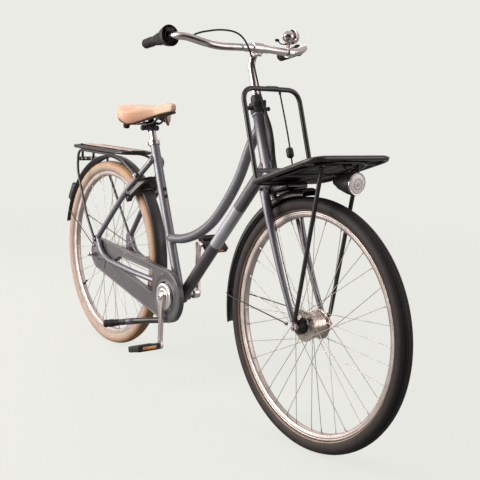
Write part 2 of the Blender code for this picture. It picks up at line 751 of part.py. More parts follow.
def guard(name, centre, start, stop, steps):
    """A curved sheet over part of a wheel, angles in degrees from straight ahead."""
    half = GUARD_HALF
    ring = GUARD_RADIUS
    side = [(ring - 0.0195, half), (ring - 0.0075, half * 0.84), (ring, half * 0.36)]
    profile = [(r, h) for r, h in side] + [(r, -h) for r, h in reversed(side)]
    turn = Matrix.Rotation(math.radians(start), 4, "Z")
    place = Matrix.Translation(centre) @ TO_RIGHT @ turn
    obj = turned(name, profile, steps, place, math.radians(stop - start), GUARD_SHEET, closed=False)
    return apply(obj)


def wire(name, centre, angle, foot, radius):
    """A wire stay from both axle ends round the back of a mudguard."""
    out = GUARD_RADIUS + 0.0010
    half = GUARD_HALF + 0.0008
    path = [
        Vector((foot.x, -foot.y, foot.z)),
        wheel_angle(centre, angle, out - 0.030, -half - 0.004),
        wheel_angle(centre, angle, out + 0.001, -half * 0.72),
        wheel_angle(centre, angle, out + 0.001, half * 0.72),
        wheel_angle(centre, angle, out - 0.030, half + 0.004),
        Vector(foot),
    ]
    return pipe(name, rounded(path, 0.012, 2), radius, 6)


FRONT_GUARD = (96, 192)
front_guard = guard("front_mudguard", FRONT_AXLE, *FRONT_GUARD, 14)
fuse(front_guard, wire("front_wire", FRONT_AXLE, 178, FRONT_AXLE + Vector((-0.030, 0.0682, 0.006)), 0.0019))
rear_guard = guard("rear_mudguard", REAR_AXLE, -14, 169, 22)
fuse(rear_guard, wire("rear_wire", REAR_AXLE, 160, REAR_AXLE + Vector((-0.010, 0.0752, 0.030)), 0.0019))

light_turn = Matrix.Rotation(math.radians(-148.7), 4, "Y")
tail_light = box("tail_light", wheel_angle(REAR_AXLE, 148.7, GUARD_RADIUS + 0.0095), (0.029, 0.046, 0.082),
                 light_turn, 0.006)
cut(tail_light, across("tail_space", REAR_AXLE, -0.1, 0.1, GUARD_RADIUS + 0.0014, 96))
finish(tail_light, "black", BICYCLE)
finish(rear_guard, "black", BICYCLE)


# Rear carrier
rack_front = REAR_AXLE.x + RACK_LENGTH - RACK_BACK
rack_back = REAR_AXLE.x - RACK_BACK
rack_y = RACK_HALF - RACK_TUBE


def rack_loop():
    corners = [(rack_front, rack_y), (rack_back, rack_y), (rack_back, -rack_y), (rack_front, -rack_y)]
    return rounded([Vector((x, y, RACK_Z)) for x, y in corners], 0.040, 3, closed=True)


rear_carrier = pipe("rear_carrier", rack_loop(), RACK_TUBE, 8, closed=True)
bars = bmesh.new()
for x in (rack_front - 0.085, (rack_front + rack_back) / 2, rack_back + 0.085):
    add_rod(bars, (x, -rack_y, RACK_Z), (x, rack_y, RACK_Z), 0.0042, 6)
for y in (-0.024, 0.024):
    add_rod(bars, (rack_front, y, RACK_Z - 0.001), (rack_back, y, RACK_Z - 0.001), 0.0040, 6)
bar_mesh = mesh_from("carrier_bars", bars)
bracket_x = rack_back + 0.012
bracket_z = RACK_Z - 0.052
fuse(
    rear_carrier,
    bar_mesh,
    box("lamp_plate", (bracket_x, 0, bracket_z), (0.004, 0.076, 0.016)),
    box("lamp_arm_right", (bracket_x, -0.024, RACK_Z - 0.026), (0.004, 0.010, 0.056)),
    box("lamp_arm_left", (bracket_x, 0.024, RACK_Z - 0.026), (0.004, 0.010, 0.056)),
)
finish(rear_carrier, "satin black", BICYCLE)


def rail(side, name):
    """From the axle plate up round the back, under the platform and down to the seat stay."""
    foot_y = PLATE_Y + PLATE_SHEET / 2 + FIT + RAIL_TUBE
    under = RACK_Z - RACK_TUBE - RAIL_TUBE + 0.0004
    stay_points = stay_path(LEFT)
    landing = min(stay_points, key=lambda point: abs(point.x - (REAR_AXLE.x + 0.252)) + (point.z < 0.6) * 9)
    outside = STAY_RADIUS + RAIL_TUBE + 0.0005
    path = [
        by_axle(-0.0045, 0.060, foot_y),
        by_axle(-0.072, 0.145, foot_y),
        by_axle(-0.180, 0.310, 0.0665),
        by_axle(-0.178, under - REAR_AXLE.z, rack_y),
        Vector((REAR_AXLE.x + 0.120, rack_y, under)),
        Vector((REAR_AXLE.x + 0.175, rack_y, under - 0.010)),
        landing + Vector((0, outside, 0)),
    ]
    obj = pipe(name, [mirrored(p, side) for p in rounded(path, 0.035, 3)], RAIL_TUBE, 6)
    bolt = Vector((landing.x, 0, landing.z))
    fuse(obj, across(name + "_bolt", bolt, side * (landing.y + outside - 0.002),
                     side * (landing.y + outside + 0.009), 0.007, 8))
    return finish(obj, "satin black", BICYCLE)


rail(RIGHT, "carrier_rail_right")
rail(LEFT, "carrier_rail_left")

strap_top = RACK_Z + RACK_TUBE + FIT
strap_reach = RACK_LENGTH + 2 * (RACK_TUBE + FIT + 0.0032)
straps = box("carrier_straps", ((rack_front + rack_back) / 2, 0, strap_top + 0.0015), (strap_reach, 0.052, 0.003))
strap_slots = bmesh.new()
for y in (-0.009, 0.009):
    slot = Matrix.Translation(((rack_front + rack_back) / 2, y, strap_top)) @ Matrix.Diagonal(
        (RACK_LENGTH - 0.060, 0.005, 0.02, 1.0))
    bmesh.ops.create_cube(strap_slots, size=1.0, matrix=slot)
cut(straps, mesh_from("strap_slots", strap_slots))
for x in (rack_front, rack_back):
    out = 1 if x == rack_front else -1
    hook = box("strap_hook", (x + out * (RACK_TUBE + FIT + 0.0016), 0, RACK_Z + 0.0008), (0.0031, 0.048, 0.0150))
    fuse(straps, hook)
finish(straps, "strap", BICYCLE)


# Ring lock
stay_up = (SEAT_TOP - SEAT_WAY * 0.068 - by_axle(0.018, 0.067)).normalized()
lock_normal = Vector((stay_up.z, 0, -stay_up.x))
lock_shift = 0.0235 + (by_axle(0.018, 0.067) + Vector((0.0, 0, 0.014)) - REAR_AXLE).dot(lock_normal)
LOCK_CENTRE = REAR_AXLE + stay_up * 0.335 + lock_normal * (lock_shift + 0.004)
LOCK_INNER = 0.0430
LOCK_OUTER = 0.0610
lock_ring = (LOCK_INNER + LOCK_OUTER) / 2
LOCK_TURN = Matrix((
    (0, stay_up.x, lock_normal.x, 0),
    (-1, stay_up.y, lock_normal.y, 0),
    (0, stay_up.z, lock_normal.z, 0),
    (0, 0, 0, 1),
))
LOCK = Matrix.Translation(LOCK_CENTRE) @ LOCK_TURN


def lock_arc(radius, start, stop, steps):
    turns = [math.radians(start + (stop - start) * i / steps) for i in range(steps + 1)]
    return [LOCK @ Vector((radius * math.cos(a), radius * math.sin(a), 0)) for a in turns]


lock_profile = [(LOCK_OUTER, 0.009), (LOCK_OUTER - 0.003, 0.012), (LOCK_INNER, 0.012), (LOCK_INNER, -0.012),
                (LOCK_OUTER - 0.003, -0.012), (LOCK_OUTER, -0.009)]
lock_slab = bmesh.new()
lock_steps = 16
lock_rows = []
for i in range(lock_steps + 1):
    a = math.radians(-28 + 236 * i / lock_steps)
    swell = 1.0 + 0.60 * max(0.0, math.sin(a)) ** 4
    row = []
    for r, h in lock_profile:
        r = r if r == LOCK_INNER else r * swell
        row.append(lock_slab.verts.new(LOCK @ Vector((r * math.cos(a), r * math.sin(a), h))))
    lock_rows.append(row)
for first, second in zip(lock_rows, lock_rows[1:]):
    for j in range(len(lock_profile)):
        k = (j + 1) % len(lock_profile)
        lock_slab.faces.new((first[j], first[k], second[k], second[j]))
lock_slab.faces.new(lock_rows[0])
lock_slab.faces.new(list(reversed(lock_rows[-1])))
lock_housing = mesh_from("lock_housing", lock_slab)
cut(
    lock_housing,
    pipe("lock_channel", lock_arc(lock_ring, -40, 220, 20), 0.0052, 6),
)


for side in (RIGHT, LEFT):
    lug = [LOCK @ Vector((side * 0.053, 0.0, depth)) for depth in (-0.011, -0.021)]
    fuse(lock_housing, rod("lock_lug", *lug, 0.0075, 10))
cut(lock_housing, stay_space(RIGHT), stay_space(LEFT),
    across("lock_guard_space", REAR_AXLE, -0.0305, 0.0305, GUARD_RADIUS + 0.0016, 96))
finish(lock_housing, "black", BICYCLE)
LOCK_AXIS = frame_at("lock_axis", LOCK_CENTRE, BICYCLE, LOCK_TURN)
lock_bar = pipe("lock_bar", lock_arc(lock_ring, -24, 132, 14), 0.0038, 6)
finish(lock_bar, "steel", LOCK_AXIS)


# Stand
PIVOT = CRANK_AXIS + Vector((-STAND_BACK, 0, -STAND_DROP))
stand_top = by_crank(STAND_BACK + 0.012, 0.0140).z - STAY_RADIUS + 0.0035
stand_bracket = box("stand_bracket", (PIVOT.x - 0.012, 0, stand_top - 0.004), (0.050, 0.072, 0.008))
fuse(
    stand_bracket,
    box("stand_web", (PIVOT.x - 0.002, 0, (stand_top + PIVOT.z) / 2 - 0.002), (0.030, 0.026, stand_top - PIVOT.z - 0.002)),
    across("stand_barrel", PIVOT, -0.0180, 0.0180, 0.012, 14),
)
cut(
    stand_bracket,
    across("stand_hole", PIVOT, -0.05, 0.05, 0.0063, 12),
    across("stand_wheel_space", REAR_AXLE, -0.05, 0.05, GUARD_RADIUS + WHEEL_CLEAR, 96),
    stay_space(RIGHT),
    stay_space(LEFT),
    shell_space(),
)
finish(stand_bracket, "satin black", BICYCLE)

STAND = frame_at("stand", PIVOT, BICYCLE)
stand_legs = across("stand_legs", PIVOT, -0.032, 0.032, 0.0059, 12)
for side in (RIGHT, LEFT):
    bends = [
        PIVOT + Vector((0.006, side * 0.0298, 0.0015)),
        PIVOT + Vector((-0.095, side * 0.050, -0.022)),
        PIVOT + Vector((-0.189, side * 0.140, -0.045)),
    ]
    leg = pipe("stand_leg", rounded(bends, 0.05, 3), 0.0110, 8)
    foot_way = (bends[2] - bends[1]).normalized()
    foot = rod("stand_foot", bends[2] - foot_way * 0.026, bends[2] + foot_way * 0.012, 0.0140, 12)
    fuse(stand_legs, leg, foot)
finish(stand_legs, "satin black", STAND)


# Seat
post_top = SEAT_TOP + SEAT_WAY * 0.082
seat_post = rod("seat_post", SEAT_TOP - SEAT_WAY * 0.150, post_top, POST_RADIUS, 16)
finish(seat_post, "chrome", SEAT)

SADDLE_BACK = SEAT_TOP + Vector((-0.157, 0, 0))


def eased(value, low, high):
    t = min(1.0, max(0.0, (value - low) / (high - low)))
    return t * t * (3 - 2 * t)


def saddle_form(t):
    """Half width, top height and lower edge height of the saddle, t from back to nose."""
    half = 0.0215 + (SADDLE_HALF - 0.0215) * (1 - eased(t, 0.24, 0.74))
    half *= 0.90 + 0.10 * eased(t, 0.0, 0.22)
    top = 0.142 - 0.010 * eased(t, 0.0, 0.40) + 0.0215 * eased(t, 0.35, 1.0)
    low = 0.095 - 0.026 * math.sin(math.pi * min(1.0, t / 0.62)) + 0.026 * eased(t, 0.45, 1.0)
    return half, SEAT_TOP.z + top, SEAT_TOP.z + low


def saddle_solid(name, rings, sides, shape, inset=0.0):
    """A solid from a sphere: its poles become the back edge and the nose."""
    bm = bmesh.new()
    bmesh.ops.create_uvsphere(bm, u_segments=sides, v_segments=rings, radius=1.0)
    for vert in bm.verts:
        t = 0.5 + 0.5 * vert.co.z
        flat = math.hypot(vert.co.x, vert.co.y)
        side = vert.co.y / flat if flat > 1e-5 else 0.0
        up = vert.co.x / flat if flat > 1e-5 else 0.0
        t = inset + (1 - 2 * inset) * t
        y, z = shape(t, min(1.0, flat) ** 0.55, side, up)
        vert.co = Vector((SADDLE_BACK.x + SADDLE_LENGTH * t, y, z))
    return mesh_from(name, bm)


def cushion(t, swell, side, up):
    """Crowned on top, with sides drawn down to a level lower face."""
    half, top, low = saddle_form(t)
    middle = low + (top - low) * 0.55
    y = half * swell * math.copysign(abs(side) ** 0.70, side)
    if up >= 0:
        return y, middle + (top - middle) * swell * up ** 0.80
    return y, middle - (middle - low) * swell * min(1.0, (-up * 1.6) ** 0.60)


def pan(above, below, inset):
    """A level form inside the cushion's skirt, measured from its widest line."""
    def shape(t, swell, side, up):
        half, top, low = saddle_form(t)
        y = (half * 0.80 - inset) * swell * math.copysign(abs(side) ** 0.60, side)
        return y, low + PAN_Z + (above if up > 0 else -below) * swell * min(1.0, abs(up) * 2)
    return shape


PAN_Z = 0.0235
PAN_SHEET = 0.0044
PAN_HALF = PAN_SHEET / 2
cover = saddle_solid("saddle_cover", 16, 20, cushion)
cut(cover, saddle_solid("cover_space", 12, 12, pan(PAN_HALF + FIT, 0.060, 0.0), 0.050))
finish(cover, "leather", SEAT)
saddle_base = saddle_solid("saddle_base", 12, 12, pan(PAN_HALF, PAN_HALF, 0.0010), 0.054)
for side in (RIGHT, LEFT):
    bumper = SADDLE_BACK + Vector((0.044, side * 0.048, 0.0))
    bumper.z = saddle_form(0.15)[2] + PAN_Z - 0.001
    fuse(saddle_base, rod("bumper", bumper, bumper + Vector((-0.004, 0, -0.038)), 0.010, 10, 0.008))
finish(saddle_base, "black", SEAT)

clamp_centre = post_top + Vector((-0.001, 0, -0.0020))
saddle_rails = box("saddle_rails", clamp_centre, (0.042, 0.056, 0.040), soften=0.006)
rail_z = clamp_centre.z + 0.012
for side in (RIGHT, LEFT):
    back_t, nose_t = 0.12, 0.86
    path = [
        Vector((SADDLE_BACK.x + SADDLE_LENGTH * back_t, side * 0.036, saddle_form(back_t)[2] + PAN_Z - 0.0045)),
        Vector((SADDLE_BACK.x + SADDLE_LENGTH * 0.20, side * 0.031, rail_z - 0.003)),
        Vector((clamp_centre.x - 0.03, side * 0.0225, rail_z)),
        Vector((clamp_centre.x + 0.045, side * 0.0165, rail_z + 0.004)),
        Vector((SADDLE_BACK.x + SADDLE_LENGTH * nose_t, side * 0.0050, saddle_form(nose_t)[2] + PAN_Z - 0.0045)),
    ]
    fuse(saddle_rails, pipe("saddle_rail", rounded(path, 0.015, 2), 0.0035, 6))
cut(saddle_rails, rod("post_space", SEAT_TOP, post_top + SEAT_WAY * FIT, POST_RADIUS + FIT, 16),
    saddle_solid("base_space", 12, 12, pan(PAN_HALF + FIT, PAN_HALF + FIT, 0.0), 0.052))
finish(saddle_rails, "steel", SEAT)


# Fork and stem
LEG_Y = 0.0555
fork = rod("fork", steer(0, 0, -0.030), steer(0, 0, HEAD_LENGTH + 0.010), STEERER_RADIUS, 16)
fuse(
    fork,
    rod("crown_race", steer(0, 0, -0.006), steer(0, 0, -FIT), HEAD_RADIUS + 0.0015, 16),
    rod("crown_neck", steer(0, 0, -0.036), steer(0, 0, -0.004), HEAD_RADIUS - 0.001, 16),
)
for side in (RIGHT, LEFT):
    leg_path = smooth([
        steer(0.002, -side * 0.010, -0.022), steer(0.014, side * 0.026, -0.024), steer(0.030, side * 0.049, -0.044),
        steer(0.038, side * LEG_Y, -0.090), steer(0.042, side * LEG_Y, -0.1735),
        steer(0.054, side * LEG_Y, -0.300), steer(0.073, side * LEG_Y, -FORK_LENGTH + 0.019),
    ], 2)
    count = len(leg_path) - 1
    taper = [1.0 - 0.42 * eased(i / count, 0.35, 1.0) for i in range(count + 1)]
    fuse(fork, pipe("fork_leg", leg_path, 0.0135, 8, taper))
    foot = steer(0.071, 0, -FORK_LENGTH + 0.030)
    outline = [
        (FRONT_AXLE.x - 0.004, FRONT_AXLE.z - 0.011), (FRONT_AXLE.x + 0.009, FRONT_AXLE.z - 0.008),
        (FRONT_AXLE.x + 0.012, FRONT_AXLE.z + 0.004), (foot.x + 0.007, foot.z), (foot.x - 0.007, foot.z - 0.004),
        (FRONT_AXLE.x - 0.011, FRONT_AXLE.z - 0.002),
    ]
    fuse(fork, plate("fork_plate", [outline], side * (LEG_Y - 0.0025), side * (LEG_Y + 0.0025)))
guard_lug = (steer(0.004, 0, -0.03) - FRONT_AXLE)
guard_lug.y = 0
lug_way = guard_lug.normalized()
lug_start = GUARD_RADIUS * math.cos(math.radians((FRONT_GUARD[1] - FRONT_GUARD[0]) / 28)) + GUARD_SHEET / 2 + FIT
fuse(fork, rod("guard_lug", FRONT_AXLE + lug_way * lug_start, FRONT_AXLE + guard_lug, 0.009, 10))
cut(fork, across("front_axle_hole", FRONT_AXLE, -0.1, 0.1, AXLE_RADIUS + FIT, 12))
finish(fork, "paint", STEERING)
finish(front_guard, "black", STEERING)

ring_low = HEAD_LENGTH + FIT
ring_profile = [
    (QUILL_RADIUS + FIT, ring_low + 0.054), (0.0150, ring_low + 0.052), (0.0178, ring_low + 0.044),
    (0.0190, ring_low + 0.032), (0.0255, ring_low + 0.030), (0.0255, ring_low + 0.018), (0.0235, ring_low + 0.016),
    (0.0235, ring_low), (STEERER_RADIUS + 2 * FIT, ring_low), (STEERER_RADIUS + 2 * FIT, ring_low + 0.0105),
    (QUILL_RADIUS + FIT, ring_low + 0.0105),
]
headset = turned("headset_ring", ring_profile, 14, STEER)
fuse(headset, rod("ring_screw", steer(0.020, 0, ring_low + 0.024), steer(0.036, 0, ring_low + 0.024), 0.004, 8))
finish(headset, "black", STEERING)

BAR_X, BAR_Z = 0.038, 0.380
stem_path = [steer(0, 0, ring_low + 0.0108), steer(0, 0, BAR_Z - 0.030), steer(BAR_X, 0, BAR_Z - 0.001)]
stem = pipe("stem", rounded(stem_path, 0.030, 3), QUILL_RADIUS, 12)
bar_middle = steer(BAR_X, 0, BAR_Z)
fuse(stem, across("stem_clamp", bar_middle, -0.019, 0.019, 0.0165, 18),
     across("clamp_bolt", bar_middle + Vector((0.006, 0, -0.019)), -0.010, 0.010, 0.005, 8))


def bar_points():
    """The right half of the bar, from the clamp to the end of the grip."""
    offsets = [(0, 0, 0), (-0.002, 0.060, -0.001), (-0.010, 0.130, -0.004), (-0.016, 0.180, 0.004),
               (-0.046, 0.226, 0.020), (-0.098, 0.2485, 0.016), (-0.200, 0.2560, -0.0015)]
    return [bar_middle + Vector(offset) for offset in offsets]


half_bar = rounded(bar_points()[:-1], 0.030, 1) + bar_points()[-1:]
bar_line = [mirrored(p, RIGHT) for p in reversed(half_bar)] + half_bar[1:]
handlebar = pipe("handlebar", bar_line, BAR_RADIUS, 10)


def bar_space(name):
    """The bar with a small clearance, a little longer at its ends."""
    ends = [(bar_line[0] - bar_line[1]).normalized() * FIT, (bar_line[-1] - bar_line[-2]).normalized() * FIT]
    line = [bar_line[0] + ends[0], *bar_line[1:-1], bar_line[-1] + ends[1]]
    return pipe(name, line, BAR_RADIUS + FIT, 10)


cut(stem, bar_space("stem_bar_space"))
finish(stem, "chrome", STEERING)
finish(handlebar, "chrome", STEERING)

grip_way = (half_bar[-1] - bar_points()[-2]).normalized()
bar_end = half_bar[-1]


def grip(side, name, length, radius):
    start, end = bar_end - grip_way * length, bar_end + grip_way * 0.006
    profile = [(0.0, 0.0), (radius * 0.80, 0.0), (radius, 0.004), (radius * 0.95, length - 0.006),
               (radius * 1.10, length), (radius * 1.10, length + 0.006), (0.0, length + 0.006)]
    turn = aim(mirrored(end, side), mirrored(start, side))
    turn.translation = mirrored(end, side)
    obj = turned(name, profile, 12, turn, closed=False)
    cut(obj, bar_space(name + "_space"))
    return finish(obj, "black", STEERING)


grip(LEFT, "grip_left", 0.098, GRIP_RADIUS)
grip(RIGHT, "grip_right", 0.062, GRIP_RADIUS - 0.0025)

twist_end = bar_end - grip_way * (0.062 + FIT)
twist_start = bar_end - grip_way * 0.100
shifter_twist = rod("shifter_twist", mirrored(twist_end, RIGHT), mirrored(twist_start, RIGHT), 0.0185, 16, 0.0242)
cut(shifter_twist, rod("twist_hole", mirrored(twist_end + grip_way * 0.02, RIGHT),
                       mirrored(twist_start - grip_way * 0.02, RIGHT), BAR_RADIUS + 0.0008, 16))
TWIST = frame_at("shifter_axis", mirrored(twist_start, RIGHT), STEERING,
                 aim(mirrored(twist_end, RIGHT), mirrored(twist_start, RIGHT)).to_3x3().to_4x4())
finish(shifter_twist, "black", TWIST)
house_start = twist_start - grip_way * FIT
house_end = bar_end - grip_way * 0.124
shifter_housing = rod("shifter_housing", mirrored(house_start, RIGHT), mirrored(house_end, RIGHT), 0.0247, 16, 0.0190)
house_top = mirrored((house_start + house_end) / 2 + Vector((0, 0, 0.016)), RIGHT)
fuse(shifter_housing, box("shifter_cap", house_top, (0.018, 0.030, 0.014), soften=0.003))
cut(shifter_housing, bar_space("housing_space"))
finish(shifter_housing, "black", STEERING)

# Bell
bell_y = 0.1315
bell_foot = bar_middle + Vector((-0.010, 0, -0.004))
bell_centre = bell_foot + Vector((0.003, 0, 0.047))
bell_body = across("bell_body", bell_foot, bell_y - 0.010, bell_y + 0.010, BAR_RADIUS + 0.0050, 14)
fuse(
    bell_body,
    box("bell_post", ((bell_foot.x + bell_centre.x) / 2, bell_y, (bell_foot.z + bell_centre.z) / 2 + 0.004),
        (0.010, 0.006, 0.038)),
    across("bell_core", bell_centre, bell_y - 0.0045, bell_y + 0.0045, 0.013, 14),
    across("bell_stud", bell_centre, bell_y - 0.0205, bell_y + 0.0205, 0.0030, 8),
    box("bell_shelf", bell_foot + Vector((-0.002, bell_y - 0.0080, 0.0186)), (0.008, 0.016, 0.004)),
)
cut(bell_body, bar_space("bell_space"))
finish(bell_body, "chrome", STEERING)


def bell_cup(side, name, radius):
    """A cup open toward the bell's middle."""
    rim_y, depth, sheet = 0.0058, 0.0172, 0.0015
    outer = [(0.0, depth), (radius * 0.42, depth * 0.90), (radius * 0.76, depth * 0.66), (radius * 0.95, depth * 0.34),
             (radius, 0.0)]
    inner = [(r - sheet if r else 0.0, h - sheet if r < radius else h) for r, h in outer]
    profile = outer + list(reversed(inner))
    turn = Matrix.Translation(bell_centre + Vector((0, bell_y + side * rim_y, 0)))
    turn = turn @ Matrix.Rotation(-side * math.pi / 2, 4, "X")
    return finish(turned(name, profile, 14, turn, closed=False), "chrome", STEERING)


bell_cup(RIGHT, "bell_cup_right", 0.0190)
bell_cup(LEFT, "bell_cup_left", 0.0225)
strike_point = bell_foot + Vector((-0.002, bell_y - 0.0125, 0.0245))
STRIKE = frame_at("striker_axis", strike_point, STEERING)
striker = rod("bell_striker", strike_point + Vector((0, 0, -0.0035)), strike_point + Vector((0, 0, 0.0035)), 0.0032, 8)
striker_tip = strike_point + Vector((-0.012, -0.024, 0.010))
fuse(striker, pipe("striker_arm", [strike_point, strike_point + Vector((-0.006, -0.014, 0.0)), striker_tip], 0.0018, 6),
     rod("striker_tip", striker_tip + Vector((0.001, 0.006, 0)), striker_tip + Vector((-0.002, -0.008, 0.001)), 0.0045, 8))
finish(striker, "black", STRIKE)


# Front axle
front_axle = across("front_axle", FRONT_AXLE, -0.0735, 0.0735, AXLE_RADIUS, 12)
lug_out = LEG_Y + 0.0025 + FIT + 0.0030
fuse(
    front_axle,
    nut("front_nut_right", FRONT_AXLE, -lug_out - FIT, -0.0705, 0.009),
    nut("front_nut_left", FRONT_AXLE, lug_out + FIT, 0.0705, 0.009),
    across("dynamo_cap", FRONT_AXLE, -0.0352, -LEG_Y + 0.0025 + FIT, 0.0205, 20),
    across("front_spacer", FRONT_AXLE, 0.0352, LEG_Y - 0.0025 - FIT, 0.009, 12),
    box("dynamo_plug", FRONT_AXLE + Vector((0.010, -0.0440, 0.022)), (0.014, 0.012, 0.012)),
)
finish(front_axle, "steel", STEERING)


# Front carrier, in the steering frame
plane = -0.025 - CARRIER_TUBE
carrier_y = CARRIER_HALF - CARRIER_TUBE
rim_corners = [(CARRIER_BACK, carrier_y), (CARRIER_FRONT, carrier_y), (CARRIER_FRONT, -carrier_y),
               (CARRIER_BACK, -carrier_y)]
carrier_loop = rounded([steer(x, y, plane) for x, y in rim_corners], 0.045, 3, closed=True)
front_carrier = pipe("front_carrier", carrier_loop, CARRIER_TUBE, 8, closed=True)
slats = bmesh.new()
for y in (-0.1036, -0.0518, 0.0, 0.0518, 0.1036):
    slat = STEER @ Matrix.Translation(((CARRIER_BACK + CARRIER_FRONT) / 2, y, plane + 0.0015)) @ Matrix.Diagonal(
        (CARRIER_FRONT - CARRIER_BACK, 0.046, 0.004, 1.0))
    bmesh.ops.create_cube(slats, size=1.0, matrix=slat)
STRUT_X = 0.299
beams = bmesh.new()
for x in (STRUT_X, 0.170):
    add_rod(beams, steer(x, -carrier_y * 0.95, plane - 0.002), steer(x, carrier_y * 0.95, plane - 0.002), 0.0048, 6)
tongue = STEER @ Matrix.Translation((0.0562, 0, plane + 0.001)) @ Matrix.Diagonal((0.0545, 0.050, 0.005, 1.0))
tongue_bm = bmesh.new()
bmesh.ops.create_cube(tongue_bm, size=1.0, matrix=tongue)
LAMP = Vector((steer(0.346, 0, -0.098).x, 0, steer(0.346, 0, -0.098).z))
TILT_POINT = LAMP + Vector((-0.036, 0, 0.039))
ears = bmesh.new()
ear_top = steer((TILT_POINT.x - STEER_FOOT.x) * math.cos(STEER_LEAN) + 0.016, 0, plane)
for side in (RIGHT, LEFT):
    low = TILT_POINT + Vector((0, side * 0.0085, 0))
    high = Vector((ear_top.x, side * 0.0085, ear_top.z))
    line = high - low
    turn = aim(low, high)
    ear = turn @ Matrix.Diagonal((0.0035, 0.016, line.length + 0.014, 1.0))
    bmesh.ops.create_cube(ears, size=1.0, matrix=ear)
add_rod(ears, TILT_POINT + Vector((0, -0.0085, 0)), TILT_POINT + Vector((0, 0.0085, 0)), 0.0030, 10)
fuse(front_carrier, mesh_from("carrier_slats", slats), mesh_from("carrier_beams", beams),
     mesh_from("carrier_tongue", tongue_bm), mesh_from("lamp_ears", ears))
cut(
    front_carrier,
    rod("crown_space", steer(0, 0, -0.08), steer(0, 0, 0.02), HEAD_RADIUS + 0.0018, 20),
)
finish(front_carrier, "satin black", STEERING)

hoop_x = 0.0700
hoop_foot = plane - 0.004
hoop_corners = [steer(hoop_x, -HOOP_HALF, hoop_foot), steer(hoop_x, -HOOP_HALF, HOOP_TOP - HOOP_TUBE),
                steer(hoop_x, HOOP_HALF, HOOP_TOP - HOOP_TUBE), steer(hoop_x, HOOP_HALF, hoop_foot)]
hoop = pipe("carrier_hoop", rounded(hoop_corners, 0.042, 4), HOOP_TUBE, 8)
hoop_bar = bmesh.new()
bmesh.ops.create_cube(hoop_bar, size=1.0, matrix=STEER @ Matrix.Translation((hoop_x, 0, 0.012)) @ Matrix.Diagonal(
    (0.006, 2 * HOOP_HALF, 0.014, 1.0)))
fuse(hoop, mesh_from("hoop_bar", hoop_bar))
cut(hoop, pipe("hoop_space", carrier_loop, CARRIER_TUBE + FIT, 8, closed=True))
finish(hoop, "satin black", STEERING)


def strut(side, name):
    """A tube from the carrier's front beam down to the axle, with a flat eye at its foot."""
    eye_y = LEG_Y + 0.0025 + FIT + 0.0015
    tube_y = LEG_Y + 0.0030 + FIT + 0.0060
    low = FRONT_AXLE + Vector((0.0005, side * tube_y, 0.020))
    high = steer(STRUT_X, side * 0.065, plane - 0.0065)
    obj = rod(name, low, high, 0.0060, 10)
    fuse(
        obj,
        across(name + "_eye", FRONT_AXLE, side * (eye_y - 0.0015), side * (eye_y + 0.0015), 0.0105, 16),
        box(name + "_flat", FRONT_AXLE + Vector((0, side * eye_y, 0.016)), (0.011, 0.0030, 0.024)),
    )
    cut(
        obj,
        across(name + "_hole", FRONT_AXLE, -0.1, 0.1, AXLE_RADIUS + FIT, 12),
        rod(name + "_beam_space", steer(STRUT_X, -carrier_y, plane - 0.002), steer(STRUT_X, carrier_y, plane - 0.002),
            0.0048 + FIT, 6),
        box(name + "_nut_space", FRONT_AXLE + Vector((0, side * (eye_y + 0.0015 + 0.01), 0)), (0.024, 0.02, 0.022)),
    )
    return finish(obj, "satin black", STEERING)


strut(RIGHT, "front_strut_right")
strut(LEFT, "front_strut_left")

# Headlight
TILT = frame_at("headlight_axis", TILT_POINT, STEERING)
AHEAD = Matrix.Rotation(math.pi / 2, 4, "Y")
lamp_profile = [(0.0, 0.0), (0.026, 0.0), (0.0335, -0.001), (0.0335, -0.018), (0.031, -0.028), (0.0255, -0.052),
                (0.0150, -0.074), (0.010, -0.082), (0.0, -0.082)]
headlight = turned("headlight_housing", lamp_profile, 18, Matrix.Translation(LAMP) @ AHEAD, closed=False)
fuse(headlight, across("lamp_lug", TILT_POINT, -0.0060, 0.0060, 0.0085, 12),
     box("lamp_neck", (TILT_POINT + LAMP + Vector((-0.036, 0, 0.020))) / 2, (0.012, 0.012, 0.026)))
cut(headlight, across("lamp_pin_hole", TILT_POINT, -0.02, 0.02, 0.0034, 10))
finish(headlight, "black", TILT)
lens_profile = [(0.0, 0.0085), (0.012, 0.0080), (0.022, 0.0062), (0.0295, 0.0030), (0.0310, FIT), (0.0, FIT)]
lens = turned("headlight_lens", lens_profile, 18, Matrix.Translation(LAMP) @ AHEAD, closed=False)
finish(lens, "lens", TILT)

# Cords
cord_y = 0.032
cord_top = steer(hoop_x, cord_y, HOOP_TOP - 2 * HOOP_TUBE - FIT - 0.0002)
cord_foot = steer(CARRIER_BACK + 0.002, cord_y - 0.008, plane + CARRIER_TUBE + FIT + 0.001)
binder = pipe("binder_cord", [cord_top, (cord_top + cord_foot) / 2 + Vector((0.004, 0, 0)), cord_foot], 0.0018, 8)
slider_spot = cord_top * 0.24 + cord_foot * 0.76
slider_way = (cord_foot - cord_top).normalized()
fuse(binder, rod("cord_slider", slider_spot - slider_way * 0.013, slider_spot + slider_way * 0.013, 0.0085, 8))
finish(binder, "black", STEERING)

